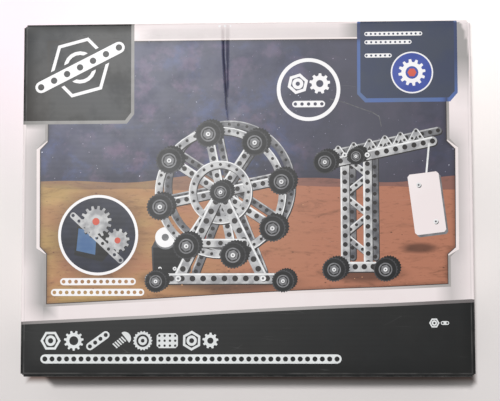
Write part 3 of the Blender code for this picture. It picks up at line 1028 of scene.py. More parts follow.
@dataclass(frozen=True)
class FrontRelief:
    """How the front panel departs from flat: a slight crown, and the buckle at its upper fold."""

    half_x: float
    half_y: float
    crown: float = 0.33
    bulge: float = 0.26
    roll: float = 13.0
    groove_depth: float = 0.24
    facet_rise: float = 0.30
    foot: float = 49.0
    left_groove: tuple[Flat, ...] = (
        (-16.6, 126.5), (-16.0, 113.0), (-15.8, 102.0), (-14.8, 86.0), (-13.8, 71.5), (-13.3, 64.0),
        (-12.2, 57.0), (-11.4, 50.5),
    )
    right_groove: tuple[Flat, ...] = (
        (-12.8, 126.5), (-12.9, 113.0), (-12.9, 101.0), (-13.0, 90.0), (-12.8, 80.0), (-13.6, 72.0),
    )

    def _line_x(self, line: tuple[Flat, ...], y: float) -> float:
        """Where a line that runs down the panel crosses one height."""
        return next((ax + (bx - ax) * (ay - y) / (ay - by)
                     for (ax, ay), (bx, by) in zip(line, line[1:]) if y >= by), line[-1][0])

    def _fade(self, flat: Flat) -> float:
        """How strong the buckle still is, from 1 at the fold to 0 at its foot."""
        return clamp((flat[1] - self.foot) / 22.0)

    def _across(self, flat: Flat) -> float:
        """Place across the buckle's facet, from -1 to 1 on it."""
        half = 0.35 + 1.0 * clamp((flat[1] - 76.0) / 40.0)
        return (flat[0] - self._line_x(self.right_groove, flat[1])) / half

    def crease_shade(self, flat: Flat) -> float:
        """How much painted shade darkens a point of the buckle: a thin crease and a broad facet.

        Args:
            flat: A point of the print.

        Returns:
            The painted shade, from 0 to 1.
        """
        broad = 0.34 * clamp(3.0 * (1.15 - abs(self._across(flat))))
        broad *= clamp((flat[1] - 62.0) / 14.0)
        return max(clamp(1.0 - line_gap(flat, self.left_groove) / 0.65), broad) * self._fade(flat)

    def lift(self, flat: Flat) -> float:
        """Gives the height of the print over the flat panel.

        Args:
            flat: A point of the print.

        Returns:
            The height in millimetres.
        """
        x, y = flat
        across = max(0.0, 1.0 - (x / self.half_x) ** 2)
        along = max(0.0, 1.0 - (y / self.half_y) ** 2)
        rolls = 1.0
        for gap in (1.4 * (self.half_x - abs(x)), self.half_y + y, 2.0 * (self.half_y - y)):
            rolls *= 1.0 - (1.0 - clamp(gap / self.roll)) ** 2
        ridge = clamp((1.0 - self._across(flat)) / 2.0)
        ridge *= clamp((x - self._line_x(self.left_groove, y) - 0.2) / 0.7)
        crease = clamp(1.0 - line_gap(flat, self.left_groove) / 0.8)
        buckle = (self.facet_rise * ridge - self.groove_depth * crease) * self._fade(flat)
        buckle *= clamp((self.half_y - y) / 1.2)
        return self.crown * across * along + self.bulge * rolls + buckle

    def guides(self) -> list[Ring]:
        """Gives the lines along which the panel's triangles are cut, so that it can bend.

        Returns:
            Lines across the panel both ways, and along both sides of the buckle.
        """
        lines: list[Ring] = []
        near = [self.roll * share for share in (0.12, 0.28, 0.5, 0.75, 1.0)]
        for half, upright, count in ((self.half_x, True, 11), (self.half_y, False, 9)):
            places = [(half - self.roll) * step / count for step in range(1 - count, count)]
            places += [side * (half - gap) for side in (-1.0, 1.0) for gap in near]
            lines += [[(at, -self.half_y), (at, self.half_y)] if upright
                      else [(-self.half_x, at), (self.half_x, at)] for at in places]
        for groove, shifts in (
            (self.left_groove, (-2.6, -1.5, -0.8, -0.4, 0.0, 0.4, 0.8)),
            (self.right_groove, (-1.8, -1.3, -0.6, 0.0, 0.6, 1.3, 1.8, 2.6)),
        ):
            lines += [[(x + shift, min(y, self.half_y)) for x, y in groove] for shift in shifts]
        return lines


# Places along a long printed line, and how far it rises there because the panel bows
BOW = ((-125.0, 0.0), (-97.0, 0.0), (-69.0, 0.0), (-41.0, 0.35), (-13.0, 0.7), (12.0, 0.75),
       (37.0, 0.7), (72.0, 0.5), (95.0, 0.1), (120.0, 0.0))


@dataclass
class Layers:
    piece: str
    ink: str = "white_ink"
    areas: list[Area] = field(default_factory=list)

    def inked(self, ink: str, piece: str = "") -> "Layers":
        """Goes on in another ink or piece, over the same areas."""
        return Layers(piece or self.piece, ink, self.areas)

    def lay(self, ink: str, outline: Ring, *holes: Ring) -> None:
        """Lays an area of one ink over the others."""
        self.areas.append(Area(self.piece, ink, outline, holes))

    def strip(self, start: Flat, end: Flat, width: float, holes: int) -> None:
        """Draws a perforated strip.

        Args:
            start: Middle of the first hole.
            end: Middle of the last hole.
            width: Width of the strip.
            holes: Number of holes, evenly spaced from start to end.
        """
        shares = [step / max(holes - 1, 1) for step in range(holes)]
        self.lay(self.ink, capsule(start, end, width / 2), *(
            disc((start[0] + (end[0] - start[0]) * share, start[1] + (end[1] - start[1]) * share),
                 width * 0.28, 8 if width < 6.0 else 14) for share in shares))

    def nut(self, centre: Flat, radius: float, line: float, phase: float = 0.0) -> None:
        """Draws a hexagon nut: its outline and its bore, in lines of one width.

        Args:
            centre: Middle of the nut.
            radius: Its radius to a corner.
            line: Width of its lines.
            phase: Its turn in radians.
        """
        self.lay(self.ink, disc(centre, radius, 6, phase), disc(centre, radius - line, 6, phase))
        self.lay(self.ink, disc(centre, radius * 0.52, 20),
                 disc(centre, max(radius * 0.52 - line, 0.3), 20))

    def gear(self, centre: Flat, radius: float, teeth: int, bore: float) -> None:
        """Draws a toothed wheel with its bore."""
        self.lay(self.ink, cog(centre, radius * 0.78, radius, teeth, 8.0), disc(centre, bore, 16))

    def bolt(self, centre: Flat, size: float, turn: float) -> None:
        """Draws a bolt seen from its side, with its domed head and its thread.

        Args:
            centre: Middle of the bolt.
            size: Its length.
            turn: Its turn in degrees.
        """
        (x, y), wide = centre, size * 0.17
        rings = [[(x + size * 0.34 * math.cos(angle),
                   y + size * 0.26 + size * 0.3 * math.sin(angle))
                  for angle in (math.pi * step / 10 for step in range(11))]]
        for step in range(5):
            top = y + size * (0.2 - 0.145 * step)
            rings.append([(x - wide, top - size * 0.12), (x + wide, top - size * 0.08),
                          (x + wide, top), (x - wide, top - size * 0.04)])
        for ring in rings:
            self.lay(self.ink, turned(ring, turn, centre))

    def tyre(self, centre: Flat, radius: float) -> None:
        """Draws a ribbed tyre and its hub."""
        self.lay(self.ink, cog(centre, radius * 0.9, radius, 18), disc(centre, radius * 0.66, 20))
        self.lay(self.ink, disc(centre, radius * 0.46, 16), disc(centre, radius * 0.2, 10))

    def plate(self, centre: Flat, size: Flat, columns: int, rows: int) -> None:
        """Draws a rectangular plate with rows of holes.

        Args:
            centre: Middle of the plate.
            size: Its width and height.
            columns: Number of holes along its width.
            rows: Number of holes along its height.
        """
        (wide, high), least = size, min(size)
        x, y = centre[0] - wide / 2, centre[1] - high / 2
        self.lay(self.ink, box((x, y), (x + wide, y + high), least * 0.16), *(
            disc((x + wide * (column + 0.5) / columns, y + high * (row + 0.5) / rows),
                 least * 0.085, 8) for column in range(columns) for row in range(rows)))


@dataclass
class KitMachine(Layers):
    """The picture's subject: an observation wheel and a jib crane, built from kit parts."""

    centre: Flat = (-18.0, 4.0)
    radius: float = 44.0
    seats: int = 8
    seat_phase: float = 0.2
    rear_shift: Flat = (6.5, 4.5)
    foot: float = -57.0
    rim_width: float = 5.4
    crane_foot: float = -46.0
    crane_head: float = 30.0
    plate_turn: float = 7.0

    def _metal(self, start: Flat, end: Flat, width: float, holes: int, far: bool = False) -> None:
        """Draws a strip with its thickness under it and a glint along its upper edge.

        Args:
            start: Middle of the first hole.
            end: Middle of the last hole.
            width: Width of the strip.
            holes: Number of holes.
            far: True for a strip at the machine's far side, which is darker.
        """
        ink, glint = ("steel_far", "steel") if far else ("steel", "steel_glint")
        dx, dy = end[0] - start[0], end[1] - start[1]
        span = math.hypot(dx, dy)
        nx, ny = -dy / span, dx / span
        if ny < 0.0 or (abs(ny) < 1e-6 and nx > 0.0):
            nx, ny = -nx, -ny
        off = width * 0.40
        under = [shifted(at, 0.55, -0.75) for at in (start, end)]
        lit = [shifted(at, nx * off, ny * off) for at in (start, end)]
        self.lay("part_shadow", capsule(*under, width / 2))
        self.inked(ink).strip(start, end, width, holes)
        self.lay(glint, capsule(*lit, width * 0.085, 2))

    def _bolt_head(self, centre: Flat, radius: float) -> None:
        """Draws a bolt's head seen from above, with its hexagon socket.

        Args:
            centre: Middle of the head.
            radius: Its radius.
        """
        for ink, at, size, sides in (("part_shadow", shifted(centre, 0.35, -0.45), radius, 12),
                                     ("steel_glint", centre, radius, 12),
                                     ("steel_far", centre, radius * 0.45, 6)):
            self.lay(ink, disc(at, size, sides))

    def _wheel_tyre(self, centre: Flat, radius: float) -> None:
        """Draws a ribbed black tyre on a grey hub.

        Args:
            centre: Middle of the tyre.
            radius: Its radius.
        """
        for ink, at in (("part_black", shifted(centre, 2.6, 1.4)), ("part_edge", centre)):
            self.lay(ink, cog(at, radius * 0.94, radius, 26))
        for ink, share, sides, phase in (("part_black", 0.88, 30, 0.0), ("hub_grey", 0.56, 24, 0.0),
                                         ("part_black", 0.46, 24, 0.0), ("hub_grey", 0.40, 6, 0.3)):
            self.lay(ink, disc(centre, radius * share, sides, phase))
        self._bolt_head(centre, radius * 0.17)

    def _rim(self, centre: Flat, radius: float, holes: int, far: bool = False) -> None:
        """Draws a round rim of curved perforated strips, with its shadow and its glint.

        Args:
            centre: Middle of the rim.
            radius: Its radius.
            holes: Number of holes round it.
            far: True for the rim at the machine's far side.
        """
        inner, outer = radius - self.rim_width / 2, radius + self.rim_width / 2
        bores = [disc(at, 1.15, 8) for at in disc(centre, radius, holes)]
        under = shifted(centre, 0.6, -0.8)
        self.lay("part_shadow", disc(under, outer, 60), disc(under, inner, 60))
        self.lay("steel_far" if far else "steel", disc(centre, outer, 60), disc(centre, inner, 60),
                 *bores)
        self.lay("steel" if far else "steel_glint", disc(centre, outer, 60),
                 disc(centre, outer - 0.75, 60))

    def _spokes(self, centre: Flat, reach: float, width: float, holes: int,
                far: bool = False) -> None:
        """Draws the spokes, each from one seat to the opposite one.

        Args:
            centre: Middle of the wheel.
            reach: How far they reach from it.
            width: Width of their strips.
            holes: Number of holes in each.
            far: True at the machine's far side.
        """
        ends = disc(centre, reach, self.seats, self.seat_phase)
        for start, end in zip(ends[:self.seats // 2], ends[self.seats // 2:]):
            self._metal(start, end, width, holes, far)

    def draw_wheel(self) -> None:
        """Draws the observation wheel, its far rim first."""
        (cx, cy), foot = self.centre, self.foot
        far = shifted(self.centre, *self.rear_shift)
        for side in (-1.0, 1.0):
            self._metal((far[0] + side * 24.0, foot + 5.0), far, 5.6, 13, True)
        self._rim(far, self.radius, 44, True)
        self._spokes(far, self.radius - 2.0, 5.0, 17, True)
        self._housing((-66.0, foot + 1.0))
        self._spokes(self.centre, self.radius - 1.0, 6.2, 15)
        self._rim(self.centre, self.radius, 44)
        self._rim(self.centre, self.radius * 0.45, 20)
        for start, end, width, holes in (
            ((cx - 30.0, foot), self.centre, 7.4, 10), ((cx + 30.0, foot), self.centre, 7.4, 10),
            ((cx - 17.0, foot + 25.0), (cx + 17.0, foot + 25.0), 6.0, 5),
            ((cx - 50.0, foot), (cx + 48.0, foot), 7.4, 14),
        ):
            self._metal(start, end, width, holes)
        for x, y in disc(self.centre, self.radius, self.seats, self.seat_phase):
            self._wheel_tyre((x, y - 1.5), 9.6)
        for at in (self.centre, (cx - 46.0, foot - 2.0), (cx + 44.0, foot - 2.0)):
            self._wheel_tyre(at, 8.0)
        for x in (-30.0, 30.0):
            self._bolt_head((cx + x, foot), 2.1)

    def _housing(self, corner: Flat) -> None:
        """Draws the motor's black housing, its cable and a white pulley.

        Args:
            corner: Its lower left corner.
        """
        for ink, ring in (
            ("part_edge", ((0.0, 0.0), (21.0, -1.5), (27.0, 4.0), (27.5, 23.0), (21.5, 27.5),
                           (1.5, 26.0), (-1.0, 21.0))),
            ("part_black", ((0.8, 1.0), (20.4, -0.4), (20.6, 20.5), (0.2, 21.0))),
            ("part_black", ((21.6, 0.4), (26.2, 4.6), (26.6, 22.0), (21.8, 20.2))),
            ("cable_red", ((24.0, 12.0), (31.0, 15.0), (37.0, 24.0), (39.0, 33.0), (37.9, 33.2),
                           (35.9, 24.6), (30.4, 16.0), (23.8, 13.0))),
        ):
            self.lay(ink, [shifted(corner, dx, dy) for dx, dy in ring])
        for ink, dx, dy, radius, sides in (("hub_grey", 9.0, 27.0, 7.4, 24),
                                           ("white_ink", 8.8, 28.2, 7.2, 24),
                                           ("hub_grey", 8.8, 28.2, 2.6, 12)):
            self.lay(ink, disc(shifted(corner, dx, dy), radius, sides))
        for dx in (5.0, 15.5):
            self._bolt_head(shifted(corner, dx, 6.0), 1.4)

    def draw_crane(self) -> None:
        """Draws the jib crane with its hanging blank plate."""
        foot, head = self.crane_foot, self.crane_head
        for x in (75.0, 91.0):
            self._metal((x, foot + 4.0), (x, head + 4.0), 5.2, 13, True)
        for step in range(5):
            low = foot + 6.0 + step * 14.0
            left, right = (70.0, 86.0) if step % 2 else (86.0, 70.0)
            self._metal((left, low), (right, low + 13.0), 4.2, 5)
        for x in (70.0, 86.0):
            self._metal((x, foot), (x, head), 6.2, 13)
        self._metal((58.0, foot - 3.0), (102.0, foot - 3.0), 7.0, 8)
        self._metal((52.0, 29.0), (136.0, 47.0), 5.4, 16, True)
        for step in range(6):
            base = (60.0 + step * 11.0, 24.5 + step * 2.36)
            peak = shifted(base, 5.5, 10.5)
            self._metal(base, peak, 3.6, 3)
            self._metal(peak, shifted(base, 11.0, 2.36), 3.6, 3)
        self._metal((54.0, 23.0), (132.0, 39.5), 6.6, 13)
        self._wheel_tyre((56.0, 25.0), 8.4)
        self._wheel_tyre((78.0, 29.0), 6.4)
        self.lay("steel_glint", [(128.9, 38.0), (130.2, 38.0), (127.8, 14.0), (126.5, 14.0)])
        pivot = (126.0, 16.0)
        plate = turned(box((114.0, -26.0), (136.0, 17.0), 1.6), self.plate_turn, pivot)
        self.lay("hub_grey", [shifted(at, 1.4, -1.6) for at in plate])
        self.lay("plate_white", plate)
        for at in turned([(121.0, 9.0), (129.5, -18.0)], self.plate_turn, pivot):
            self._bolt_head(at, 1.7)
        for x in (62.0, 98.0):
            self._wheel_tyre((x, foot - 5.0), 8.6)
        for x in (70.0, 86.0):
            self._bolt_head((x, head), 1.8)


def bowed(left: Flat, right: Flat) -> Ring:
    """Points of a long printed line, from left to right, that rises where the panel bows."""
    slope = (right[1] - left[1]) / (right[0] - left[0])
    return [left, *((x, left[1] + (x - left[0]) * slope + rise) for x, rise in BOW), right]


def swell(level: float, rise: float, end: float, phase: float) -> Ring:
    """Outline of a far dune: two long waves added up.

    Args:
        level: Its middle height.
        rise: How far it rises over that height.
        end: Where it ends at the right.
        phase: Where its waves begin, in turns.

    Returns:
        Its points, from left to right.
    """
    start, steps, turn = -147.2, 48, math.tau * phase
    places = [start + (end - start) * step / steps for step in range(steps + 1)]
    return [(x, level + rise * (0.62 * math.sin(x / 33.0 + turn)
                                + 0.38 * math.sin(x / 14.5 + 2.0 * turn))) for x in places]


@dataclass
class FrontArtwork:
    """The layout of the front print, in millimetres from the panel's middle."""

    half_x: float
    half_y: float
    picture: Ring = field(default_factory=lambda: [
        *bowed((-141.9, -75.0), (141.8, -61.3)), (141.9, -40.4), (147.4, -35.6), (148.0, 34.0),
        (142.2, 39.6), (142.2, 113.3), (-141.9, 113.3), (-141.9, 40.8), (-147.4, 35.2),
        (-146.9, -34.3), (-142.1, -39.2),
    ])
    ring_centre: Flat = (44.8, 77.0)
    ring_radius: float = 22.6
    inset_centre: Flat = (-105.1, -26.0)
    inset_radius: float = 28.6
    badge_centre: Flat = (118.2, 88.6)
    icon_height: float = -100.6

    def areas(self) -> list[Area]:
        """Gives every area of the front print.

        Returns:
            The areas, from the lowest to the topmost.
        """
        areas: list[Area] = []
        self._frame(Layers("front_frame_print", areas=areas))
        self._picture(Layers("front_picture_print", areas=areas))
        machine = KitMachine("front_machine_print", areas=areas)
        machine.draw_wheel()
        machine.draw_crane()
        for name, draw in (("band", self._band), ("tile", self._tile), ("tab", self._tab),
                           ("ring", self._ring), ("inset", self._inset)):
            draw(Layers(f"front_{name}_print", areas=areas))
        return areas

    def _frame(self, page: Layers) -> None:
        """Draws the pale frame, with its bevelled line round the picture and painted highlights on
        the buckle's fold.

        Args:
            page: The frame's layers.
        """
        page.lay("pale_frame", box((-self.half_x, -self.half_y), (self.half_x, self.half_y)))
        bevel = page.inked("", "front_bevel_print")
        bevel.lay("bevel_grey", [
            *bowed((-143.7, -76.8), (143.5, -63.1)), (143.6, -42.2), (149.2, -36.6), (149.8, 35.0),
            (144.0, 41.4), (144.0, 113.3), (-143.7, 113.3), (-143.7, 42.4), (-149.2, 36.2),
            (-148.7, -35.2), (-143.8, -40.4)])
        for ring in (
            [(-142.0, 41.6), (-149.8, 35.4), (-149.2, -35.2), (-143.6, -38.9), (-142.1, -39.4),
             (-146.9, -34.3), (-147.4, 35.2), (-142.0, 40.9)],
            [(142.2, 39.8), (148.0, 34.0), (147.4, -35.6), (142.0, -40.4), (142.1, -41.4),
             (149.6, -36.9), (150.0, 34.8), (142.2, 40.6)],
            box((-80.0, 113.3), (79.6, 114.5)),
        ):
            bevel.lay("bevel_white", ring)
        # Painted highlights: three white dots on the buckle's fold, where the film catches the
        # light.
        for x, radius in ((-18.6, 0.9), (-14.7, 1.0), (-10.8, 0.6)):
            page.lay("white_ink", disc((x, 123.5), radius, 10))

    def _picture(self, page: Layers) -> None:
        """Draws the picture: a night sky over two ridges of sand.

        Args:
            page: The picture's layers.
        """
        foot = bowed((-141.9, -75.0), (141.8, -61.3))
        below = [(147.4, -35.6), (141.9, -40.4), *reversed(foot), (-142.1, -39.2), (-146.9, -34.3)]
        arc = [(60.0, 70.4), (71.0, 67.6), (82.0, 63.4), (90.0, 60.6), (95.0, 57.4), (96.4, 50.2)]
        page.lay("night_field", self.picture)
        page.lay("scratched_film", arc + [(x - 0.45, y - 0.5) for x, y in reversed(arc)])
        page.lay("far_ridge", swell(13.5, 3.2, 147.9, 0.31) + below)
        page.lay("sand_field", swell(7.2, 2.2, 147.7, 0.05) + below)
        page.lay("picture_edge", self.picture, inset(self.picture, 0.5))

    def _band(self, page: Layers) -> None:
        """Draws the dark band at the foot, with the grey line over it and rows of kit parts.

        Args:
            page: The band's layers.
        """
        (x, y), middle = (self.half_x, self.half_y), self.icon_height
        page.lay("band_line", [(-x, -89.6), (x, -74.6), *reversed(bowed((-x, -87.1), (x, -71.8)))])
        page.lay("dark_band", [(-x, -y), (x, -y), *reversed(bowed((-x, -89.2), (x, -74.1)))])
        icons = page.inked("soft_white")
        icons.nut((-138.4, middle), 7.2, 1.9)
        icons.gear((-121.9, middle), 7.0, 11, 3.2)
        icons.strip((-110.4, middle - 4.0), (-99.2, middle + 4.0), 5.4, 4)
        icons.bolt((-88.0, middle), 13.0, -52.0)
        icons.tyre((-73.0, middle), 6.8)
        icons.plate((-55.6, middle), (15.0, 10.4), 4, 3)
        icons.nut((-38.4, middle), 7.0, 1.9, 0.5)
        icons.gear((-25.2, middle), 5.6, 9, 2.2)
        icons.strip((-142.4, -113.4), (63.6, -113.4), 6.4, 41)
        icons.nut((131.6, -88.4), 3.6, 1.1)
        icons.strip((137.4, -88.4), (140.6, -88.4), 2.6, 2)

    def _tile(self, page: Layers) -> None:
        """Draws the dark corner tile, with a nut and a perforated strip.

        Args:
            page: The tile's layers.
        """
        x, y = self.half_x, self.half_y
        page.lay("tile_rim", [(-x, 53.5), (-85.0, 53.5), (-79.7, 60.4), (-79.9, y), (-x, y)])
        page.lay("dark_tile", [(-x, 55.9), (-86.3, 55.9), (-82.0, 61.5), (-82.1, y), (-x, y)])
        page.nut((-119.0, 94.5), 22.5, 2.6, 0.26)
        page.lay("dark_tile", capsule((-148.5, 79.5), (-89.5, 109.5), 6.6))
        page.strip((-147.0, 80.3), (-91.0, 108.7), 8.4, 7)

    def _tab(self, page: Layers) -> None:
        """Draws the blue tab at the upper right, with its badge and three rows of strip.

        Args:
            page: The tab's layers.
        """
        y, badge = self.half_y, self.badge_centre
        page.lay("tab_border", [(84.9, 67.4), (144.9, 67.6), (150.3, 73.9), (150.4, y), (79.6, y),
                                (79.3, 73.4)])
        page.lay("tab_blue", [(86.0, 70.3), (144.0, 70.5), (148.1, 75.0), (148.2, y), (81.9, y),
                              (81.6, 74.6)])
        for height, end, holes in ((116.6, 124.4, 13), (110.6, 116.8, 10), (101.0, 102.6, 6)):
            page.strip((86.2, height), (end, height), 2.9, holes)
        for ink, radius in (("white_ink", 15.0), ("badge_blue", 14.0)):
            page.lay(ink, disc(badge, radius, 40))
        page.gear(badge, 9.6, 12, 4.6)
        page.lay("badge_red", disc(badge, 3.2, 6))

    def _ring(self, page: Layers) -> None:
        """Draws the white ring over the picture.

        Args:
            page: The ring's layers.
        """
        (x, y), radius = self.ring_centre, self.ring_radius
        page.lay("white_ink", disc((x, y), radius, 64), disc((x, y), radius - 2.65, 64))
        page.nut((x - 7.6, y + 4.2), 7.6, 2.4, 0.3)
        page.gear((x + 8.0, y + 4.2), 7.4, 9, 2.6)
        page.strip((x - 9.4, y - 10.4), (x + 9.4, y - 10.4), 4.6, 5)

    def _inset(self, page: Layers) -> None:
        """Draws the round inset at the lower left, and the strips under it.

        Args:
            page: The inset's layers.
        """
        centre, radius = self.inset_centre, self.inset_radius
        for ink, reach in (("white_ink", radius), ("inset_night", radius - 1.95)):
            page.lay(ink, disc(centre, reach, 64))
        for ink, ring in (
            ("part_black", ((-17.0, -14.0), (3.0, -19.0), (8.0, -13.0), (8.0, 3.0), (-15.0, 7.0))),
            ("plate_blue", ((-15.5, -11.0), (-2.0, -14.0), (-1.0, 2.4), (-14.0, 4.8))),
        ):
            page.lay(ink, [shifted(centre, dx, dy) for dx, dy in ring])
        for ink, dx, dy, size, teeth, bore in (
            ("part_black", -1.0, 9.0, 11.6, 15, 2.6), ("steel", -1.6, 9.6, 11.2, 15, 2.6),
            ("part_black", 14.4, -4.4, 8.9, 11, 2.2), ("steel", 13.9, -3.9, 8.5, 11, 2.2),
        ):
            page.inked(ink).gear(shifted(centre, dx, dy), size, teeth, bore)
        page.inked("steel").strip(shifted(centre, -18.0, 14.0), shifted(centre, 16.0, -18.0),
                                  4.4, 9)
        page.lay("badge_red", disc(shifted(centre, -1.6, 9.6), 2.6, 12))
        page.lay("badge_red", disc(shifted(centre, 13.9, -3.9), 2.2, 12))
        page.strip((-129.5, -59.0), (-80.5, -59.0), 5.0, 12)
        page.strip((-136.0, -66.6), (-74.5, -66.6), 5.0, 15)


class FrontPanel:
    """The front panel: its board, and the print sheet laid over it ink by ink."""

    PRINTS = ("frame", "bevel", "picture", "machine", "band", "tile", "tab", "ring", "inset")
    EDGE_SHADE = 4.5

    def __init__(self, sizes: CartonSizes, finishes: Finishes) -> None:
        """Takes the carton's sizes and finishes.

        Args:
            sizes: Sizes of the carton.
            finishes: Its finishes.
        """
        self.sizes = sizes
        self.finishes = finishes
        self.board = Board(Vector((0.0, 0.0, sizes.depth)), X_AXIS, Z_AXIS)
        self.relief = FrontRelief(sizes.closure_inner, sizes.side_inner)
        self.artwork = FrontArtwork(sizes.closure_inner, sizes.side_inner)
        ring = counter_clockwise(self.artwork.picture)
        self.picture = [*ring, ring[0]]

    def _over(self, t: float) -> Placing:
        """Gives the placing of points that follow the panel's relief at one height."""
        return lambda flat: self.board.place(flat, t + self.relief.lift(flat))

    def build(self) -> None:
        """Builds the board and every print."""
        sizes, relief = self.sizes, self.relief
        under = self._over(-sizes.print_sheet)
        gleams = {"bevel": self._gleam, "band": self._line_gleam}
        lattice = Lattice(self.artwork.areas(), relief.guides() + self._shade_guides())
        for name in self.PRINTS:
            # Each print's points carry the painted shade of the buckle's creases, and the shade of
            # the print's own tone.
            draft, piece = Draft(), f"front_{name}_print"
            draft.sheet(lattice, lattice.pick(piece=piece), self._over(0.0), under,
                        self.finishes.of,
                        {"crease_shade": relief.crease_shade, "shade": gleams.get(name, self._shade)})
            settle(draft.build(piece), "tube", "laminated_print")
        self._strew(lattice)
        outline = box((-relief.half_x, -relief.half_y), (relief.half_x, relief.half_y))
        plain = Lattice([Area("front_board", "liner_paper", outline)], relief.guides())
        draft = Draft()
        draft.sheet(plain, plain.pick(), under, self._over(-sizes.board), self.finishes.of)
        settle(draft.build("front_board"), "tube", "board_liner", "front_panel")

    def _strew(self, lattice: Lattice) -> None:
        """Strews stars over the sky, and pebbles with their dark sides over the sand.

        Args:
            lattice: The front print's areas.
        """
        scatter, draft = Scatter(), Draft()
        # Columns: field, finish, marks a square metre, seed, smallest, largest, squash, sides, lift
        for ground, ink, density, seed, small, large, squash, sides, lift in (
            ("night_field", "star_dim", 8000.0, 3, 0.14, 0.40, 1.0, 5, 0.02),
            ("night_field", "star_bright", 800.0, 11, 0.20, 0.50, 1.0, 6, 0.05),
            ("sand_field", "pebble_dark", 5200.0, 5, 0.25, 1.15, 0.55, 6, 0.02),
            ("sand_field", "pebble_light", 3600.0, 17, 0.2, 0.8, 0.5, 6, 0.05),
        ):
            field_mesh = lattice.mesh(lattice.pick(piece="front_picture_print", ink=ground),
                                      self._over(0.0))
            marks = scatter.run(field_mesh, self.finishes[ink], {
                "Marks per Square Metre": density, "Seed": seed, "Smallest": small * MM,
                "Largest": large * MM, "Squash": squash, "Sides": sides, "Lift": lift * MM})
            draft.mesh(marks, Matrix.Identity(4), self.finishes[ink])
        settle(draft.build("front_speckle_print"), "tube", "laminated_print")

    def _gleam(self, flat: Flat) -> float:
        """How light the bevel is: light along the middle of the picture's foot, grey elsewhere."""
        return clamp(1.0 - (flat[0] / 138.0) ** 2) if flat[1] < -50.0 else 0.0

    def _line_gleam(self, flat: Flat) -> float:
        """How light the line over the dark band is: most left of its middle, least at its right."""
        return clamp(1.0 - ((flat[0] + 25.0) / 155.0) ** 2)

    def _shade(self, flat: Flat) -> float:
        """How shaded the print is at a point of the frame or of the picture inside it.

        Args:
            flat: The point.

        Returns:
            The shade, from 0 to 1.
        """
        x, y = flat
        if self._inside(flat, -0.01):
            return (1.0 - min(line_gap(flat, self.picture), self.EDGE_SHADE) / self.EDGE_SHADE) ** 2
        if y > 60.0 and x > 79.0 and y + 2.2 * x < 460.0:
            return clamp((y - 70.0) / 26.0)
        if y > 50.0 and -158.0 < x < -79.0:
            return clamp((112.0 - y) / 50.0)
        if y > 112.0:
            return (0.1 * clamp((x + 60.0) / 60.0)
                    + (0.24 + 0.18 * clamp(-x / 50.0)) * clamp((123.5 - y) / 3.5))
        if abs(x) < 141.5:
            return 0.13
        notch = clamp((44.0 - abs(y)) / 8.0)
        near = 143.8 + 6.2 * notch
        left = clamp(1.0 - (abs(x) - near) / (self.sizes.closure_inner - near))
        fade = clamp((y + 90.0) / 12.0)
        upper = clamp((y - 40.0) / 10.0)
        if x < 0.0:
            outer = left * (1.05 if y < 0.0 else 0.8) + 0.08 * (1.0 - upper)
            return (notch * (0.45 + 0.36 * left) + (1.0 - notch) * outer) * fade
        return (left * 0.55 + 0.09) * (1.0 - 0.6 * upper) * fade

    def _inside(self, flat: Flat, margin: float) -> bool:
        """Says whether a point lies inside the picture.

        Args:
            flat: The point.
            margin: By how much it has to lie inside.

        Returns:
            True inside.
        """
        x, y = flat
        crossings = sum((ay > y) != (by > y) and x < ax + (y - ay) * (bx - ax) / (by - ay)
                        for (ax, ay), (bx, by) in zip(self.picture, self.picture[1:]))
        gap = line_gap(flat, self.picture)
        return (gap if crossings % 2 else -gap) > margin

    def _shade_guides(self) -> list[Ring]:
        """Gives the lines along which the frame's grey and the picture's dark edge can fade.

        Returns:
            Upright and level lines in the frame, and rings inside the picture.
        """
        reach = self.sizes.side_inner
        upright = [[(side * x, -reach), (side * x, reach)]
                   for side in (-1.0, 1.0) for x in (144.0, 147.0, 150.0, 153.0)]
        level = [[(-81.0, y), (81.0, y)] for y in (reach - 0.6, reach - 2.2, reach - 3.8, 115.0)]
        around = [inset(self.artwork.picture, gap) for gap in (1.2, 2.6, self.EDGE_SHADE)]
        return upright + level + [ring + ring[:1] for ring in around]


def settle(piece: bpy.types.Object, body: str, slot: str, *nodes: str) -> bpy.types.Object:
    """Hangs a finished piece on the empty of its body, and hides the solids that it stands for.

    Args:
        piece: The piece.
        body: The body that it rides on.
        slot: Not used.
        *nodes: The solids that it stands for.

    Returns:
        The piece.
    """
    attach(piece, body)
    if nodes:
        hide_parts(*nodes)
    log.info("%s: %d faces on %s", piece.name, len(piece.data.polygons), body)
    return piece


# Boards of the tube, the closures and the dust flaps


class Flutes(Enum):
    """Which way a board's flutes run: along its own run or across it."""

    ALONG_RUN = "along"
    ACROSS_RUN = "across"


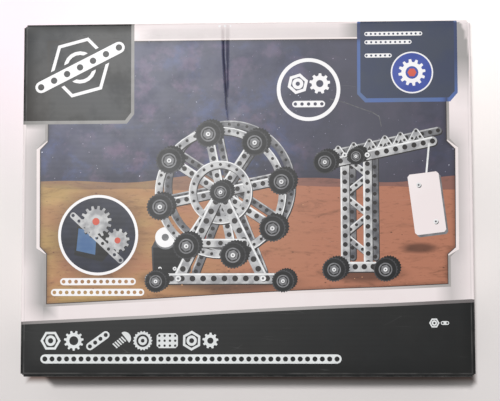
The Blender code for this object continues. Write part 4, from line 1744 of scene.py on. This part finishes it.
class MeshRecipe:
    """A tree of Geometry Nodes that makes one mesh out of another, and what runs it."""

    NAME = ""
    INPUTS: tuple[tuple[str, str, Any], ...] = ()

    def __init__(self) -> None:
        """Builds the tree, which ends in Realize Instances and Set Material."""
        desk, feed, result = new_group(self.NAME, "GeometryNodeTree", (
            ("Mesh", GEOMETRY, None), *self.INPUTS, ("Finish", "NodeSocketMaterial", None),
        ), (("Mesh", GEOMETRY),))
        plain = desk.take("GeometryNodeRealizeInstances", {0: self._shape(desk, feed)})
        dress = {"Geometry": plain, "Material": feed["Finish"]}
        desk.feed(result, {0: desk.take("GeometryNodeSetMaterial", dress)})
        self.tree = desk.tree

    def _shape(self, desk: NodeDesk, feed: Any) -> Any:
        """Gives the geometry made from the inputs."""
        return feed["Mesh"]

    def run(self, data: bpy.types.Mesh, finish: bpy.types.Material,
            feeds: dict[str, Any]) -> bpy.types.Mesh:
        """Runs the tree on a mesh and keeps the plain result.

        Args:
            data: The mesh that it starts from.
            finish: Finish of the result.
            feeds: Value of each other input by name.

        Returns:
            The result as a plain mesh.
        """
        holder = bpy.data.objects.new(data.name, data)
        bpy.context.scene.collection.objects.link(holder)
        modifier = holder.modifiers.new(self.tree.name, "NODES")
        modifier.node_group = self.tree
        values = {"Finish": finish, **feeds}
        for item in self.tree.interface.items_tree:
            if item.in_out == "INPUT" and item.name in values:
                modifier[item.identifier] = values[item.name]
        holder.update_tag()
        bpy.context.view_layer.update()
        depsgraph = bpy.context.evaluated_depsgraph_get()
        result = bpy.data.meshes.new_from_object(holder.evaluated_get(depsgraph))
        holder.modifiers.remove(modifier)
        bpy.data.objects.remove(holder)
        return result


class FlutedMedium(MeshRecipe):
    """The waved paper between a board's two liners."""

    NAME = "fluted_medium"
    INPUTS = (("Pitch", FLOAT, 0.0036), ("Rise", FLOAT, 0.0004), ("Paper Thickness", FLOAT, 0.0002),
              ("Across Run", "NodeSocketBool", False))
    PAPER = 0.16
    STEPS_A_WAVE = 8

    def __init__(self, sizes: CartonSizes) -> None:
        """Builds the tree for boards of these sizes."""
        self.sizes = sizes
        super().__init__()

    def _shape(self, desk: NodeDesk, feed: Any) -> Any:
        """Waves a flat sheet and gives it its thickness.

        Args:
            desk: Desk on the tree.
            feed: The tree's inputs.

        Returns:
            The waved paper.
        """
        u, w, _ = desk.split(desk.take("GeometryNodeInputPosition"))
        coord = desk.take("GeometryNodeSwitch", {0: feed["Across Run"], 1: w, 2: u},
                          input_type="FLOAT")
        turn = desk.times(desk.math("DIVIDE", coord, feed["Pitch"]), math.tau)
        offset = desk.join(0.0, 0.0, desk.times(desk.math("SINE", turn), feed["Rise"]))
        waved = desk.take("GeometryNodeSetPosition", {"Geometry": feed["Mesh"], "Offset": offset})
        thick = desk.take("GeometryNodeExtrudeMesh", {
            "Mesh": waved, "Offset": desk.join(0.0, 0.0, feed["Paper Thickness"]),
            "Offset Scale": 1.0, "Individual": False}, mode="FACES")
        both = desk.add("GeometryNodeJoinGeometry")
        for part in (thick, desk.take("GeometryNodeFlipFaces", {0: waved})):
            desk.feed(both, {0: part})
        return desk.take("GeometryNodeMergeByDistance", {"Geometry": both.outputs[0],
                                                         "Distance": 1e-6})

    def waved(self, outline: Ring, flutes: Flutes, finish: bpy.types.Material) -> bpy.types.Mesh:
        """Waves the medium of one board.

        Args:
            outline: The board's flat outline.
            flutes: Which way its flutes run.
            finish: Finish of the paper.

        Returns:
            The medium in the board's own frame, with z = 0 half way through the board.
        """
        pitch, steps = self.sizes.flute_pitch, self.STEPS_A_WAVE
        axis = 0 if flutes is Flutes.ACROSS_RUN else 1
        low = [min(point[k] for point in outline) - 1.0 for k in (0, 1)]
        high = [max(point[k] for point in outline) + 1.0 for k in (0, 1)]
        first, last = math.ceil(low[axis] / pitch * steps), math.floor(high[axis] / pitch * steps)
        places = [step * pitch / steps for step in range(first, last + 1)]
        lattice = Lattice([Area("medium", "flute_paper", outline)], [
            [(low[0], at), (high[0], at)] if axis else [(at, low[1]), (at, high[1])]
            for at in places])
        data = lattice.mesh(lattice.pick(), lambda flat: Vector((flat[0] * MM, flat[1] * MM, 0.0)))
        return self.run(data, finish, {
            "Pitch": pitch * MM, "Rise": (self.sizes.board / 2 - self.sizes.liner - 0.14) * MM,
            "Paper Thickness": self.PAPER * MM, "Across Run": flutes is Flutes.ACROSS_RUN,
        })


class Scatter(MeshRecipe):
    """Small printed marks strewn over an area, such as stars and pebbles."""

    NAME = "scattered_marks"
    INPUTS = (("Marks per Square Metre", FLOAT, 4000.0), ("Seed", "NodeSocketInt", 7),
              ("Smallest", FLOAT, 0.0002), ("Largest", FLOAT, 0.0008), ("Squash", FLOAT, 1.0),
              ("Sides", "NodeSocketInt", 6), ("Lift", FLOAT, 0.00002))

    def _shape(self, desk: NodeDesk, feed: Any) -> Any:
        """Strews flat discs of chance sizes, few of them large.

        Args:
            desk: Desk on the tree.
            feed: The tree's inputs.

        Returns:
            The marks, lifted off the ground.
        """
        points = desk.take("GeometryNodeDistributePointsOnFaces", {
            "Mesh": feed["Mesh"], "Density": feed["Marks per Square Metre"], "Seed": feed["Seed"]})
        mark = desk.take("GeometryNodeMeshCylinder", {
            "Vertices": feed["Sides"], "Side Segments": 1, "Fill Segments": 1, "Radius": 1.0,
            "Depth": 0.00004})
        chance = desk.add("FunctionNodeRandomValue", {2: 0.0, 3: 1.0, 8: feed["Seed"]},
                          data_type="FLOAT").outputs[1]
        width = desk.take("ShaderNodeMapRange", {0: desk.math("POWER", chance, 3.0), 1: 0.0, 2: 1.0,
                                                 3: feed["Smallest"], 4: feed["Largest"]})
        placed = desk.take("GeometryNodeInstanceOnPoints", {
            "Points": points, "Instance": mark,
            "Scale": desk.join(width, desk.times(width, feed["Squash"]), 1.0)})
        plain = desk.take("GeometryNodeRealizeInstances", {0: placed})
        return desk.take("GeometryNodeSetPosition", {
            "Geometry": plain, "Offset": desk.join(0.0, 0.0, feed["Lift"])})


class PartsChart(MeshRecipe):
    """Rows of one kit part, as a chart of contents has them."""

    NAME = "parts_row"
    INPUTS = (("Columns", "NodeSocketInt", 4), ("Rows", "NodeSocketInt", 1),
              ("Column Pitch", FLOAT, 0.01), ("Row Pitch", FLOAT, 0.01))
    INK_THICKNESS = 0.04

    def _shape(self, desk: NodeDesk, feed: Any) -> Any:
        """Sets the part on the points of a grid.

        Args:
            desk: Desk on the tree.
            feed: The tree's inputs.

        Returns:
            The parts in their rows.
        """
        across, down = (
            desk.times(feed[f"{way} Pitch"], desk.math("SUBTRACT", feed[f"{way}s"], 1.0))
            for way in ("Column", "Row"))
        grid = desk.take("GeometryNodeMeshGrid", {
            "Size X": across, "Size Y": down, "Vertices X": feed["Columns"],
            "Vertices Y": feed["Rows"]})
        return desk.take("GeometryNodeInstanceOnPoints", {"Points": grid, "Instance": feed["Mesh"]})

    def rows_of(self, part: list[Area], columns: int, rows: int, pitch: Flat,
                finish: bpy.types.Material) -> bpy.types.Mesh:
        """Repeats a part.

        Args:
            part: The part's areas, laid out round (0, 0).
            columns: Number of columns.
            rows: Number of rows.
            pitch: Distance between columns and between rows.
            finish: Finish of the parts.

        Returns:
            The parts, as thin slabs round the origin with their faces up.
        """
        draft, lattice = Draft(), Lattice(part)
        high, low = (lambda flat, z=z: Vector((flat[0] * MM, flat[1] * MM, z))
                     for z in (0.0, -self.INK_THICKNESS * MM))
        draft.sheet(lattice, lattice.pick(), high, low, lambda area: finish)
        data = bpy.data.meshes.new("part")
        data.from_pydata([tuple(vert) for vert in draft.verts], [], draft.faces)
        return self.run(data, finish, {
            "Columns": columns, "Rows": rows, "Column Pitch": pitch[0] * MM,
            "Row Pitch": pitch[1] * MM})


@dataclass(frozen=True)
class Workshop:
    """What every sub-assembly is built with: the carton's sizes, its finishes and waved paper."""

    sizes: CartonSizes
    finishes: Finishes
    medium: FlutedMedium


@dataclass
class CartonBoard:
    """One board: a flat part, and the bars of board that go round its rigid folds."""

    name: str
    body: str
    board: Board
    flat: Ring
    node: str
    folds: tuple[Ring, ...] = ()
    flutes: Flutes | None = None
    face: str = "liner_paper"
    FOLD_STEPS = 7
    MEDIUM_DROP = 0.08

    def build(self, shop: Workshop) -> None:
        """Builds the board under its print.

        Args:
            shop: What it is built with.
        """
        draft, sizes, of = Draft(), shop.sizes, shop.finishes.of
        outer, thick = -sizes.print_sheet, sizes.board
        layers = [(outer, -thick, self.face)]
        if self.flutes is not None:
            layers = [(outer, -sizes.liner - outer, self.face),
                      (sizes.liner - thick, -thick, "liner_paper")]
            paper = shop.finishes["flute_paper"]
            sunk = Matrix.Translation((0.0, 0.0, (-thick / 2 - self.MEDIUM_DROP) * MM))
            draft.mesh(shop.medium.waved(self.flat, self.flutes, paper), self.board.matrix @ sunk,
                       paper)
        for high, low, ink in layers:
            lattice = Lattice([Area("flat", ink, self.flat)])
            draft.sheet(lattice, lattice.pick(), self.board.at(high), self.board.at(low), of)
        for ring in self.folds:
            low_u, high_u = min(u for u, w in ring), max(u for u, w in ring)
            reach = max(w for u, w in ring) + 1.0
            places = [low_u + (high_u - low_u) * step / self.FOLD_STEPS
                      for step in range(1, self.FOLD_STEPS)]
            lattice = Lattice([Area("fold", self.face, ring)],
                              [[(at, -reach), (at, reach)] for at in places])
            draft.sheet(lattice, lattice.pick(), self.board.at(outer),
                        self.board.at(sizes.print_sheet - thick), of)
        settle(draft.build(self.name), self.body, "board_liner", self.node)


@dataclass
class PrintSheet:
    """The print of one board, laid out flat in the board's own frame."""

    name: str
    body: str
    board: Board
    areas: list[Area]
    FOLD_STEPS = 7

    def build(self, shop: Workshop) -> None:
        """Builds the print.

        Args:
            shop: What it is built with.
        """
        guides: list[Ring] = []
        for line, turn, way in ((self.board.near_fold, self.board.near_turn, -1.0),
                                (self.board.far_fold, QUARTER, 1.0)):
            if line is not None:
                places = [line + way * turn * shop.sizes.board * step / self.FOLD_STEPS
                          for step in range(self.FOLD_STEPS + 1)]
                guides += [[(at, -200.0), (at, 200.0)] for at in places]
        draft, lattice = Draft(), Lattice(self.areas, guides)
        draft.sheet(lattice, lattice.pick(), self.board.at(0.0),
                    self.board.at(-shop.sizes.print_sheet), shop.finishes.of)
        settle(draft.build(self.name), self.body, "laminated_print")


@dataclass
class Crease:
    """A strip of board round a flap's hinge: print outside, liner inside.

    Its outer arc leaves out the turns between 35 and 55 degrees, so that no vertex lies between the
    two boards, where it could turn the wrong way at the half turn.
    """

    name: str
    body: str
    hinge: Vector
    first: Vector
    second: Vector
    spans: list[tuple[float, float, str]]
    OUTER_TURNS = (0, 12, 24, 35, 55, 66, 78, 90)
    INNER = ((-3.0, -1.55), (-2.6, -1.55), (-2.2, -1.55), (-1.85, -1.55),
             (-1.55, -1.85), (-1.55, -2.2), (-1.55, -2.6), (-1.55, -3.0))
    BEND = ((-1.15, -0.85), (-0.85, -1.15))

    def _point(self, at: Flat, w: float, along: Vector) -> Vector:
        """Places a point of the section, given as distances outside both boards."""
        return (self.hinge - self.first * at[0] - self.second * at[1] + along * w) * MM

    def build(self, shop: Workshop) -> None:
        """Builds the strip round its hinge, with its place baked into its mesh.

        Args:
            shop: What it is built with.
        """
        crossed = self.first.cross(self.second)
        along = Vector([abs(value) for value in crossed])
        way = -1 if along.dot(crossed) < 0.0 else 1
        thick = shop.sizes.board
        turns = [math.radians(turn) for turn in self.OUTER_TURNS]
        outer = [(thick * math.sin(turn) - thick, thick * math.cos(turn) - thick) for turn in turns]
        count, draft = len(outer), Draft()
        draft.verts = [self._point(flat, w, along)
                       for w in (self.spans[0][0], *(span[1] for span in self.spans))
                       for flat in (*outer, *self.INNER)]
        liner = shop.finishes["liner_paper"]
        draft.finishes.append(liner)
        for number, (_, _, ink) in enumerate(self.spans):
            low, high = number * 2 * count, (number + 1) * 2 * count
            for step in range(count - 1):
                inner = count + step
                draft.face((low + step, low + step + 1, high + step + 1, high + step)[::way],
                           shop.finishes[ink])
                draft.face((low + inner, high + inner, high + inner + 1, low + inner + 1)[::way],
                           liner)
            for step, turn in ((0, 1), (count - 1, -1)):
                loop = (low + step, high + step, high + count + step, low + count + step)
                draft.face(loop[::turn * way], liner)
        last = len(self.spans) * 2 * count
        for step in range(count - 1):
            cap = (step, count + step, count + step + 1, step + 1)
            draft.face(cap[::way], liner)
            draft.face(tuple(last + corner for corner in cap)[::-way], liner)
        piece = draft.build(self.name, 50.0)
        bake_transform(piece)
        log.info("%s: bends between the tube and %s", self.name, self.body)


class Tube:
    """The tube: both sides, the back and the glue flap, with their prints."""

    GLUE_ROOT = 152.7
    GLUE_SLANT = 14.0

    def __init__(self, shop: Workshop) -> None:
        """Lays out its boards with what the workshop has.

        Args:
            shop: What the tube is built with.
        """
        self.shop = shop
        self.size = size = shop.sizes
        self.wide = size.dust_outer - 0.6
        self.top = size.front_inner + size.arc
        self.upper = Board(Vector((0, size.height / 2, 0)), Z_AXIS, Y_AXIS, None, size.front_inner)
        self.lower = Board(Vector((0, -size.height / 2, 0)), Z_AXIS, -Y_AXIS, size.board,
                           size.front_inner)
        self.back = Board(Vector((0, 0, 0)), -Y_AXIS, -Z_AXIS)
        self.glue = Board(Vector((0, size.side_inner - size.play, 0)), Z_AXIS, Y_AXIS, size.board)

    def _side(self, low: float, high: float) -> Ring:
        """Outline of a side panel's pattern, narrower where the dust flaps' creases start.

        Args:
            low: Where it starts along the panel's run.
            high: Where it ends.

        Returns:
            The outline.
        """
        wide, narrow, start, end = self.wide, self.size.dust_inner, 4.3, self.size.front_inner - 0.4
        return mirrored([(low, wide), (start, wide), (start, narrow), (end, narrow), (end, wide),
                         (high, wide)])

    def build(self) -> None:
        """Builds every board and print of the tube."""
        size, wide, root = self.size, self.wide, self.GLUE_ROOT
        low, high, end = size.board, size.front_inner, size.length / 2
        tip = root - size.glue_reach * math.tan(math.radians(self.GLUE_SLANT))
        near, far = -(size.side_inner - size.play - size.board), size.side_inner
        back = [(near - 0.8, -end), (far, -end), (far, end), (near - 0.8, end),
                (near - 0.8, root + 0.4), (near, root + 0.4), (near, -root - 0.4),
                (near - 0.8, -root - 0.4)]
        top_fold = box((high, -wide), (self.top, wide))
        foot_fold = box((low - size.arc, -wide), (low, wide))
        glue_fold = box((low - size.arc, -root), (low, root))
        glue = [(low, -root), (size.glue_reach, -tip), (size.glue_reach, tip), (low, root)]
        for name, board, flat, folds, flutes in (
            ("upper_side_panel", self.upper, self._side(0.0, high), (top_fold,), Flutes.ACROSS_RUN),
            ("lower_side_panel", self.lower, self._side(low, high), (top_fold, foot_fold), None),
            ("back_panel", self.back, back, (), Flutes.ACROSS_RUN),
            ("glue_flap", self.glue, glue, (glue_fold,), Flutes.ACROSS_RUN),
        ):
            CartonBoard(name.removesuffix("_panel") + "_board", "tube", board, flat, name, folds,
                        flutes).build(self.shop)
        for name, board, areas in (("upper_side", self.upper, self._upper()),
                                   ("lower_side", self.lower, self._lower()),
                                   ("back", self.back, self._back(back))):
            PrintSheet(f"{name}_print", "tube", board, areas).build(self.shop)
        self._chart()

    def _upper(self) -> list[Area]:
        """Gives the upper side's print: pale, with the tile and the tab coming over the fold.

        Returns:
            The side's areas.
        """
        page, top, wide = Layers("upper", "chart_grey"), self.top, self.wide
        for ink, ring in (
            ("pale_frame", self._side(0.0, top)),
            ("tile_rim", [(30.0, -wide), (top, -wide), (top, -79.9), (35.0, -79.9), (30.0, -85.0)]),
            ("dark_tile", [(32.2, -wide), (top, -wide), (top, -82.1), (36.0, -82.1),
                           (32.2, -86.0)]),
            ("tab_border", [(36.0, 84.0), (30.0, 90.0), (30.0, 140.0), (36.0, 146.0), (top, 150.4),
                            (top, 79.6)]),
            ("tab_blue", [(37.0, 86.2), (32.6, 91.0), (32.6, 139.0), (37.0, 143.8), (top, 148.2),
                          (top, 81.9)]),
            ("bevel_grey", box((7.6, -wide), (8.5, wide))),
            ("dark_band", box((0.0, -wide), (5.2, wide))),
        ):
            page.lay(ink, ring)
        return self._standing(page, 32.0, 7.0, 2.0)

    def _lower(self) -> list[Area]:
        """Gives the lower side's print: the dark band goes on round it.

        Returns:
            The side's areas.
        """
        page = Layers("lower", "soft_white")
        page.lay("dark_band", self._side(self.size.board - self.size.arc, self.top))
        page.lay("band_line", box((7.6, -self.wide), (8.4, self.wide)))
        return self._standing(page, 30.0, 8.0, 2.2)

    def _standing(self, page: Layers, height: float, size: float, line: float) -> list[Area]:
        """Draws a row of kit parts along a side panel, over a long perforated strip.

        Args:
            page: The side's print.
            height: Height of the row over the back panel.
            size: Radius of the parts.
            line: Width of their lines.

        Returns:
            The side's areas.
        """
        for number in range(5):
            at = (height, (number - 2) * 22.0)
            if number % 2:
                page.gear(at, size, 11, size * 0.42)
            else:
                page.nut(at, size, line, 0.26 * number)
        for side in (-1.0, 1.0):
            page.strip((height, side * 62.0), (height, side * 76.0), size * 0.8, 3)
        page.strip((height - 15.0, -70.0), (height - 15.0, 70.0), 5.0, 21)
        return page.areas

    def _back(self, outline: Ring) -> list[Area]:
        """Gives the back's print: pale, with the dark band at its foot.

        Args:
            outline: The back panel's outline.

        Returns:
            The back's areas.
        """
        page, end = Layers("back"), self.size.length / 2
        for ink, ring in (
            ("pale_frame", outline),
            ("band_line", box((86.0, -end), (88.2, end))),
            ("dark_band", box((88.2, -end), (self.size.side_inner, end))),
            ("tile_rim", [(-122.0, -end), (-78.0, -end), (-78.0, -92.0), (-84.0, -86.0),
                          (-122.0, -86.0)]),
            ("dark_tile", [(-122.0, -end), (-80.2, -end), (-80.2, -93.0), (-85.0, -88.2),
                           (-122.0, -88.2)]),
        ):
            page.lay(ink, ring)
        page.nut((-102.0, -122.0), 14.0, 2.4)
        page.gear((-102.0, -122.0), 5.6, 9, 2.2)
        for ink, ring in (
            ("bevel_grey", box((-64.0, -146.0), (76.0, 40.0))),
            ("white_ink", box((-63.0, -145.0), (75.0, 39.0))),
            ("bevel_grey", box((-64.0, 52.0), (10.0, 146.0))),
            ("night_field", box((-63.0, 53.0), (-10.0, 145.0))),
            ("sand_field", [(-10.0, 53.0), (-14.0, 80.0), (-9.0, 112.0), (-13.0, 145.0),
                            (9.0, 145.0), (9.0, 53.0)]),
        ):
            page.lay(ink, ring)
        steel, white = page.inked("steel"), page.inked("soft_white")
        steel.gear((-27.0, 88.0), 18.0, 15, 5.0)
        steel.gear((-16.0, 117.0), 12.0, 11, 4.0)
        steel.strip((-52.0, 70.0), (2.0, 128.0), 6.0, 13)
        page.lay("chart_grey", box((24.0, 62.0), (76.0, 136.0)))
        page.lay("white_ink", box((24.7, 62.7), (75.3, 135.3)))
        white.strip((106.0, -142.0), (106.0, 60.0), 6.0, 39)
        white.nut((106.0, 80.0), 7.0, 2.0)
        white.gear((106.0, 98.0), 6.8, 11, 2.8)
        return page.areas

    def _chart(self) -> None:
        chart, draft, middle = PartsChart(), Draft(), (0.0, 0.0)
        ink = self.shop.finishes["chart_grey"]
        # Columns: what draws the part, its sizes, columns, rows, pitch both ways, place on the back
        for draw, shape, columns, rows, pitch, place in (
            (Layers.strip, ((0.0, -20.0), (0.0, 20.0), 5.2, 9), 3, 3, (9.0, 46.0), (-46.0, -76.0)),
            (Layers.strip, ((0.0, -9.0), (0.0, 9.0), 5.2, 4), 3, 1, (9.0, 24.0), (-46.0, 12.0)),
            (Layers.nut, (middle, 3.6, 1.0), 2, 12, (9.0, 15.0), (-14.0, -53.0)),
            (Layers.bolt, (middle, 9.0, 0.0), 2, 12, (12.0, 15.0), (8.0, -53.0)),
            (Layers.gear, (middle, 7.0, 11, 2.6), 1, 6, (18.0, 30.0), (29.0, -53.0)),
            (Layers.tyre, (middle, 8.0), 1, 6, (18.0, 30.0), (46.0, -53.0)),
            (Layers.plate, (middle, (12.0, 20.0), 3, 5), 1, 6, (18.0, 30.0), (64.0, -53.0)),
        ):
            page = Layers("chart")
            draw(page, *shape)
            shift = Matrix.Translation((place[0] * MM, place[1] * MM, 0.03 * MM))
            draft.mesh(chart.rows_of(page.areas, columns, rows, pitch, ink),
                       self.back.matrix @ shift, ink)
        settle(draft.build("back_chart_print"), "tube", "laminated_print")


class EndClosure:
    """One end of the carton: closure, tuck tongue, two dust flaps and their creases."""

    def __init__(self, name: str, end: int, shop: Workshop) -> None:
        """Takes the end's name, its side along X and what it is built with.

        Args:
            name: Name of the end.
            end: Its side along X, -1 or 1.
            shop: What the end is built with.
        """
        self.name, self.end, self.shop = name, end, shop
        self.size = size = shop.sizes
        outward = X_AXIS * end
        self.closure = Board(Vector((end * size.length / 2, 0, size.depth)), -Z_AXIS, outward)
        _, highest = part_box(f"{name}_tuck_tongue")
        corner = Vector((end * size.closure_inner, 0, 2 * size.board + size.play))
        self.foot = corner.z
        lift = math.asin(min(0.9, max(0.0, (highest.z / MM - corner.z) / size.tongue_reach)))
        run = Vector((-end * math.cos(lift), 0, math.sin(lift)))
        out = Vector((-end * math.sin(lift), 0, -math.cos(lift)))
        self.tongue = Board(corner + out * size.board, run, out, 0.0, None, QUARTER + lift)

    def build(self) -> None:
        """Builds the end's boards, prints and creases."""
        self._closure()
        self._tongue()
        for side_name, side in (("upper", 1), ("lower", -1)):
            self._dust_flap(side_name, side)

    def _closure(self) -> None:
        """Builds the closure panel, its print and its crease."""
        size, name, end, body = self.size, self.name, self.end, f"{self.name}_closure"
        near, far, reach = size.board, size.depth - self.foot, size.height / 2 - size.closure_end
        flat = box((near, -reach), (far, reach))
        CartonBoard(f"{body}_board", body, self.closure, flat, f"{body}_panel").build(self.shop)
        dark = -74.1 if end > 0 else -89.3
        line = dark + 2.1
        page = Layers("closure")
        page.lay("pale_frame", flat)
        for ink, top in (("band_line", line), ("dark_band", dark)):
            page.lay(ink, [(u, end * w) for u, w in ((near, top), (far, top), (far, -reach),
                                                     (near, -reach))])
        spans = [(-reach, dark, "dark_band"), (dark, line, "band_line")]
        if end < 0:
            for ink, u, w, cut in (("tile_rim", 33.0, 53.5, 5.0), ("dark_tile", 30.8, 55.9, 3.8)):
                page.lay(ink, [(near, end * w), (u - cut, end * w), (u, end * (w + cut)),
                               (u, end * reach), (near, end * reach)])
            spans += [(line, 53.5, "pale_frame"), (53.5, 55.9, "tile_rim"),
                      (55.9, reach, "dark_tile")]
        else:
            spans.append((line, reach, "pale_frame"))
        self._emblem(page)
        PrintSheet(f"{body}_print", body, self.closure, page.areas).build(self.shop)
        Crease(f"{body}_crease", body, Vector((end * size.length / 2, 0, size.depth)),
               X_AXIS * -end, -Z_AXIS, spans).build(self.shop)

    def _emblem(self, page: Layers) -> None:
        """Draws the closure's small picture of meshing gears, and the strip under it.

        Args:
            page: The closure's layers.
        """
        night = box((12.0, -34.0), (46.0, 34.0), 4.0)
        page.lay("bevel_grey", night)
        page.lay("night_field", inset(night, 1.6))
        steel = page.inked("steel")
        steel.gear((27.0, -9.0), 11.0, 15, 3.2)
        steel.gear((32.5, 9.4), 8.6, 11, 2.6)
        steel.strip((36.0, -24.0), (18.0, 22.0), 4.4, 10)
        page.inked("chart_grey").strip((51.5, -32.0), (51.5, 32.0), 4.2, 13)
        page.inked("soft_white").nut((29.0, self.end * -102.0), 8.0, 2.2, 0.3)

    def _tongue(self) -> None:
        """Builds the tuck tongue with its slit locks."""
        size, name, body = self.size, f"{self.name}_tongue", f"{self.name}_closure"
        arc = self.tongue.near_turn * size.board
        wide = size.height / 2 - size.tongue_end
        neck, radius = wide - size.slit_length, size.tongue_corner
        u, w = size.tongue_reach - radius, wide - radius
        corner = [(u + radius * math.sin(turn), w + radius * math.cos(turn))
                  for turn in (QUARTER * step / 8 for step in range(9))]
        flat = mirrored([(0.0, neck), (size.slit_width, neck), (size.slit_width, wide), *corner])
        fold = box((-arc, -neck), (0.0, neck))
        CartonBoard(f"{name}_board", body, self.tongue, flat, f"{self.name}_tuck_tongue", (fold,),
                    Flutes.ALONG_RUN).build(self.shop)
        areas = [Area("tongue", "pale_frame", ring) for ring in (flat, fold)]
        PrintSheet(f"{name}_print", body, self.tongue, areas).build(self.shop)

    def _dust_flap(self, side_name: str, side: int) -> None:
        """Builds a dust flap and its crease.

        Args:
            side_name: Name of the side panel that it hangs on.
            side: That side of the carton along Y.
        """
        size, name = self.size, f"{self.name}_{side_name}_dust_flap"
        low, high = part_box(name)[0].z / MM, size.front_inner - size.play
        slope, taper = math.tan(math.radians(9.0)), math.tan(math.radians(30.0))
        reach = size.dust_reach
        foot, top = low + 4.0 + (reach - 9.0) * slope, high - reach * taper
        hinge = Vector((self.end * size.dust_outer, side * size.height / 2, 0))
        board = Board(hinge, Y_AXIS * -side, X_AXIS * self.end)
        up = 1.0 if board.outward.cross(board.run).z > 0.0 else -1.0
        flat = [(u, w * up) for u, w in (
            (size.board, low), (5.0, low), (9.0, low + 4.0), (reach - 5.0, foot - 5.0 * slope),
            (reach - 1.4, foot + 0.6), (reach, foot + 4.2), (reach, top - 6.5),
            (reach - 0.9, top - 2.6), (reach - 4.0, top + 4.0 * taper),
            (size.board, high - size.board * taper))]
        CartonBoard(f"{name}_board", f"{name}_body", board, flat, name, (), Flutes.ALONG_RUN,
                    "liner_white").build(self.shop)
        Crease(f"{name}_crease", f"{name}_body", hinge, X_AXIS * -self.end, Y_AXIS * -side,
               [(low, high - 0.7, "liner_white")]).build(self.shop)


# Table, light and camera


@dataclass(frozen=True)
class Studio:
    """The table, the light and the camera."""

    camera_place: tuple[float, float, float] = (0.0336, -0.0576, 0.8585)
    camera_turn: tuple[float, float, float] = (3.98, 2.21, -0.14)
    lens: float = 81.4
    sun_towards: tuple[float, float, float] = (-0.15, 0.212, 1.0)
    sun_strength: float = 2.1
    sun_angle: float = 4.5
    surround: float = 0.30
    seen_surround: float = 0.72
    mirrored_surround: float = 0.55
    table_reach: float = 6000.0
    table_glow: float = 0.22

    def build(self) -> None:
        """Builds them all."""
        self._camera()
        self._light()
        self._table()

    def _place(self, name: str, data: Any, turn: Iterable[float]) -> bpy.types.Object:
        """Puts a camera or a lamp into the scene, turned as it says in radians.

        Args:
            name: Its name.
            data: The camera or the lamp.
            turn: Its turn about X, Y and Z.

        Returns:
            The object.
        """
        thing = bpy.data.objects.new(name, data)
        thing.rotation_euler = list(turn)
        bpy.context.scene.collection.objects.link(thing)
        return thing

    def _camera(self) -> None:
        """Sets the camera over the carton."""
        data = bpy.data.cameras.new("camera")
        data.lens, data.sensor_width, data.clip_start = self.lens, 36.0, 0.01
        camera = self._place("camera", data, map(math.radians, self.camera_turn))
        camera.location = self.camera_place
        bpy.context.scene.camera = camera

    def _light(self) -> None:
        """Sets the lamp over the print's top and the even light all round."""
        data = bpy.data.lights.new("lamp_overhead", "SUN")
        data.energy, data.angle = self.sun_strength, math.radians(self.sun_angle)
        turn = Vector(self.sun_towards).to_track_quat("Z", "Y").to_euler()
        self._place("lamp_overhead", data, turn)
        world = bpy.data.worlds.new("surround")
        world.use_nodes = True
        desk = NodeDesk(world.node_tree)
        path = desk.add("ShaderNodeLightPath").outputs
        seen = desk.math("MAXIMUM", path["Is Camera Ray"], path["Is Transmission Ray"])
        strength = desk.add_up(
            self.surround, (seen, self.seen_surround - self.surround),
            (path["Is Glossy Ray"], self.mirrored_surround - self.surround))
        desk.feed(world.node_tree.nodes["Background"],
                  {"Color": (1.0, 1.0, 1.0, 1.0), "Strength": strength})
        bpy.context.scene.world = world

    def _table(self) -> None:
        """Lays the pale table top, with painted light on it.

        It is whiter towards the print's top and pinker at its upper left, has a painted contact
        shadow along the carton's foot, and a painted glow that only the camera sees.
        """
        material, desk, shader = new_finish("table_top")
        place = desk.place_mm()
        x, y, _ = desk.split(place)
        away = desk.length(place)
        # Distance outside the carton's footprint, where the painted contact shadow lies.
        beside = desk.math("MAXIMUM", desk.beyond(x, 160.0), desk.beyond(y, 126.0))
        # Painted light in the table's tone: whiter towards the print's top, pinker at its upper
        # left, plain grey further out, and a painted contact shadow along the carton's foot.
        tone = desk.coats(
            (0.885, 0.865, 0.86), (desk.step(y, -190.0, 40.0), (0.97, 0.95, 0.94)),
            (desk.times(desk.step(y, -20.0, 130.0), desk.step(x, -40.0, -190.0)),
             (0.97, 0.925, 0.95)),
            (desk.step(away, 260.0, 420.0), (0.90, 0.885, 0.88)),
            (desk.step(beside, 11.5, 4.5), (0.41, 0.325, 0.29)),
            (desk.step(desk.noise(place, 0.02, 4.0), 0.3, 0.7, 0.0, 0.05), (0.80, 0.76, 0.76)))
        # Painted glow: emission that only the camera sees, stronger towards the print's top.
        glow = desk.times(desk.step(y, 10.0, 160.0), desk.step(away, 420.0, 250.0),
                          desk.add("ShaderNodeLightPath").outputs["Is Camera Ray"], self.table_glow)
        # Painted pink light at the upper left, as the colour of that glow.
        pink = desk.coats((1.0, 1.0, 1.0, 1.0),
                          (desk.step(x, -60.0, -175.0), (1.0, 0.80, 0.88, 1.0)))
        desk.feed(shader, {
            "Base Color": tone, "Roughness": 0.8, "Specular IOR Level": 0.1,
            "Normal": desk.bump(desk.noise(place, 0.8), 0.15, 0.0004),
            "Emission Color": pink, "Emission Strength": glow})
        draft, reach = Draft(), self.table_reach
        lattice = Lattice([Area("table", "table", box((-reach, -reach), (reach, reach)))])
        top, low = (lambda flat, z=z: Vector((*flat, z)) * MM for z in (-0.02, -20.0))
        draft.sheet(lattice, lattice.pick(), top, low, lambda area: material)
        draft.build("table_top")


def main() -> None:
    """Builds the scene, sub-assembly by sub-assembly."""
    logging.basicConfig(level=logging.INFO, format="%(name)s: %(message)s")
    bpy.context.scene.view_settings.view_transform = "Standard"
    sizes = measured_sizes()
    log.info("closed size %.1f x %.1f x %.1f mm", sizes.length, sizes.height, sizes.depth)
    Studio().build()
    finishes = Finishes(sizes)
    FrontPanel(sizes, finishes).build()
    shop = Workshop(sizes, finishes, FlutedMedium(sizes))
    Tube(shop).build()
    for name, end in (("left", -1), ("right", 1)):
        EndClosure(name, end, shop).build()


if __name__ == "__main__":
    main()
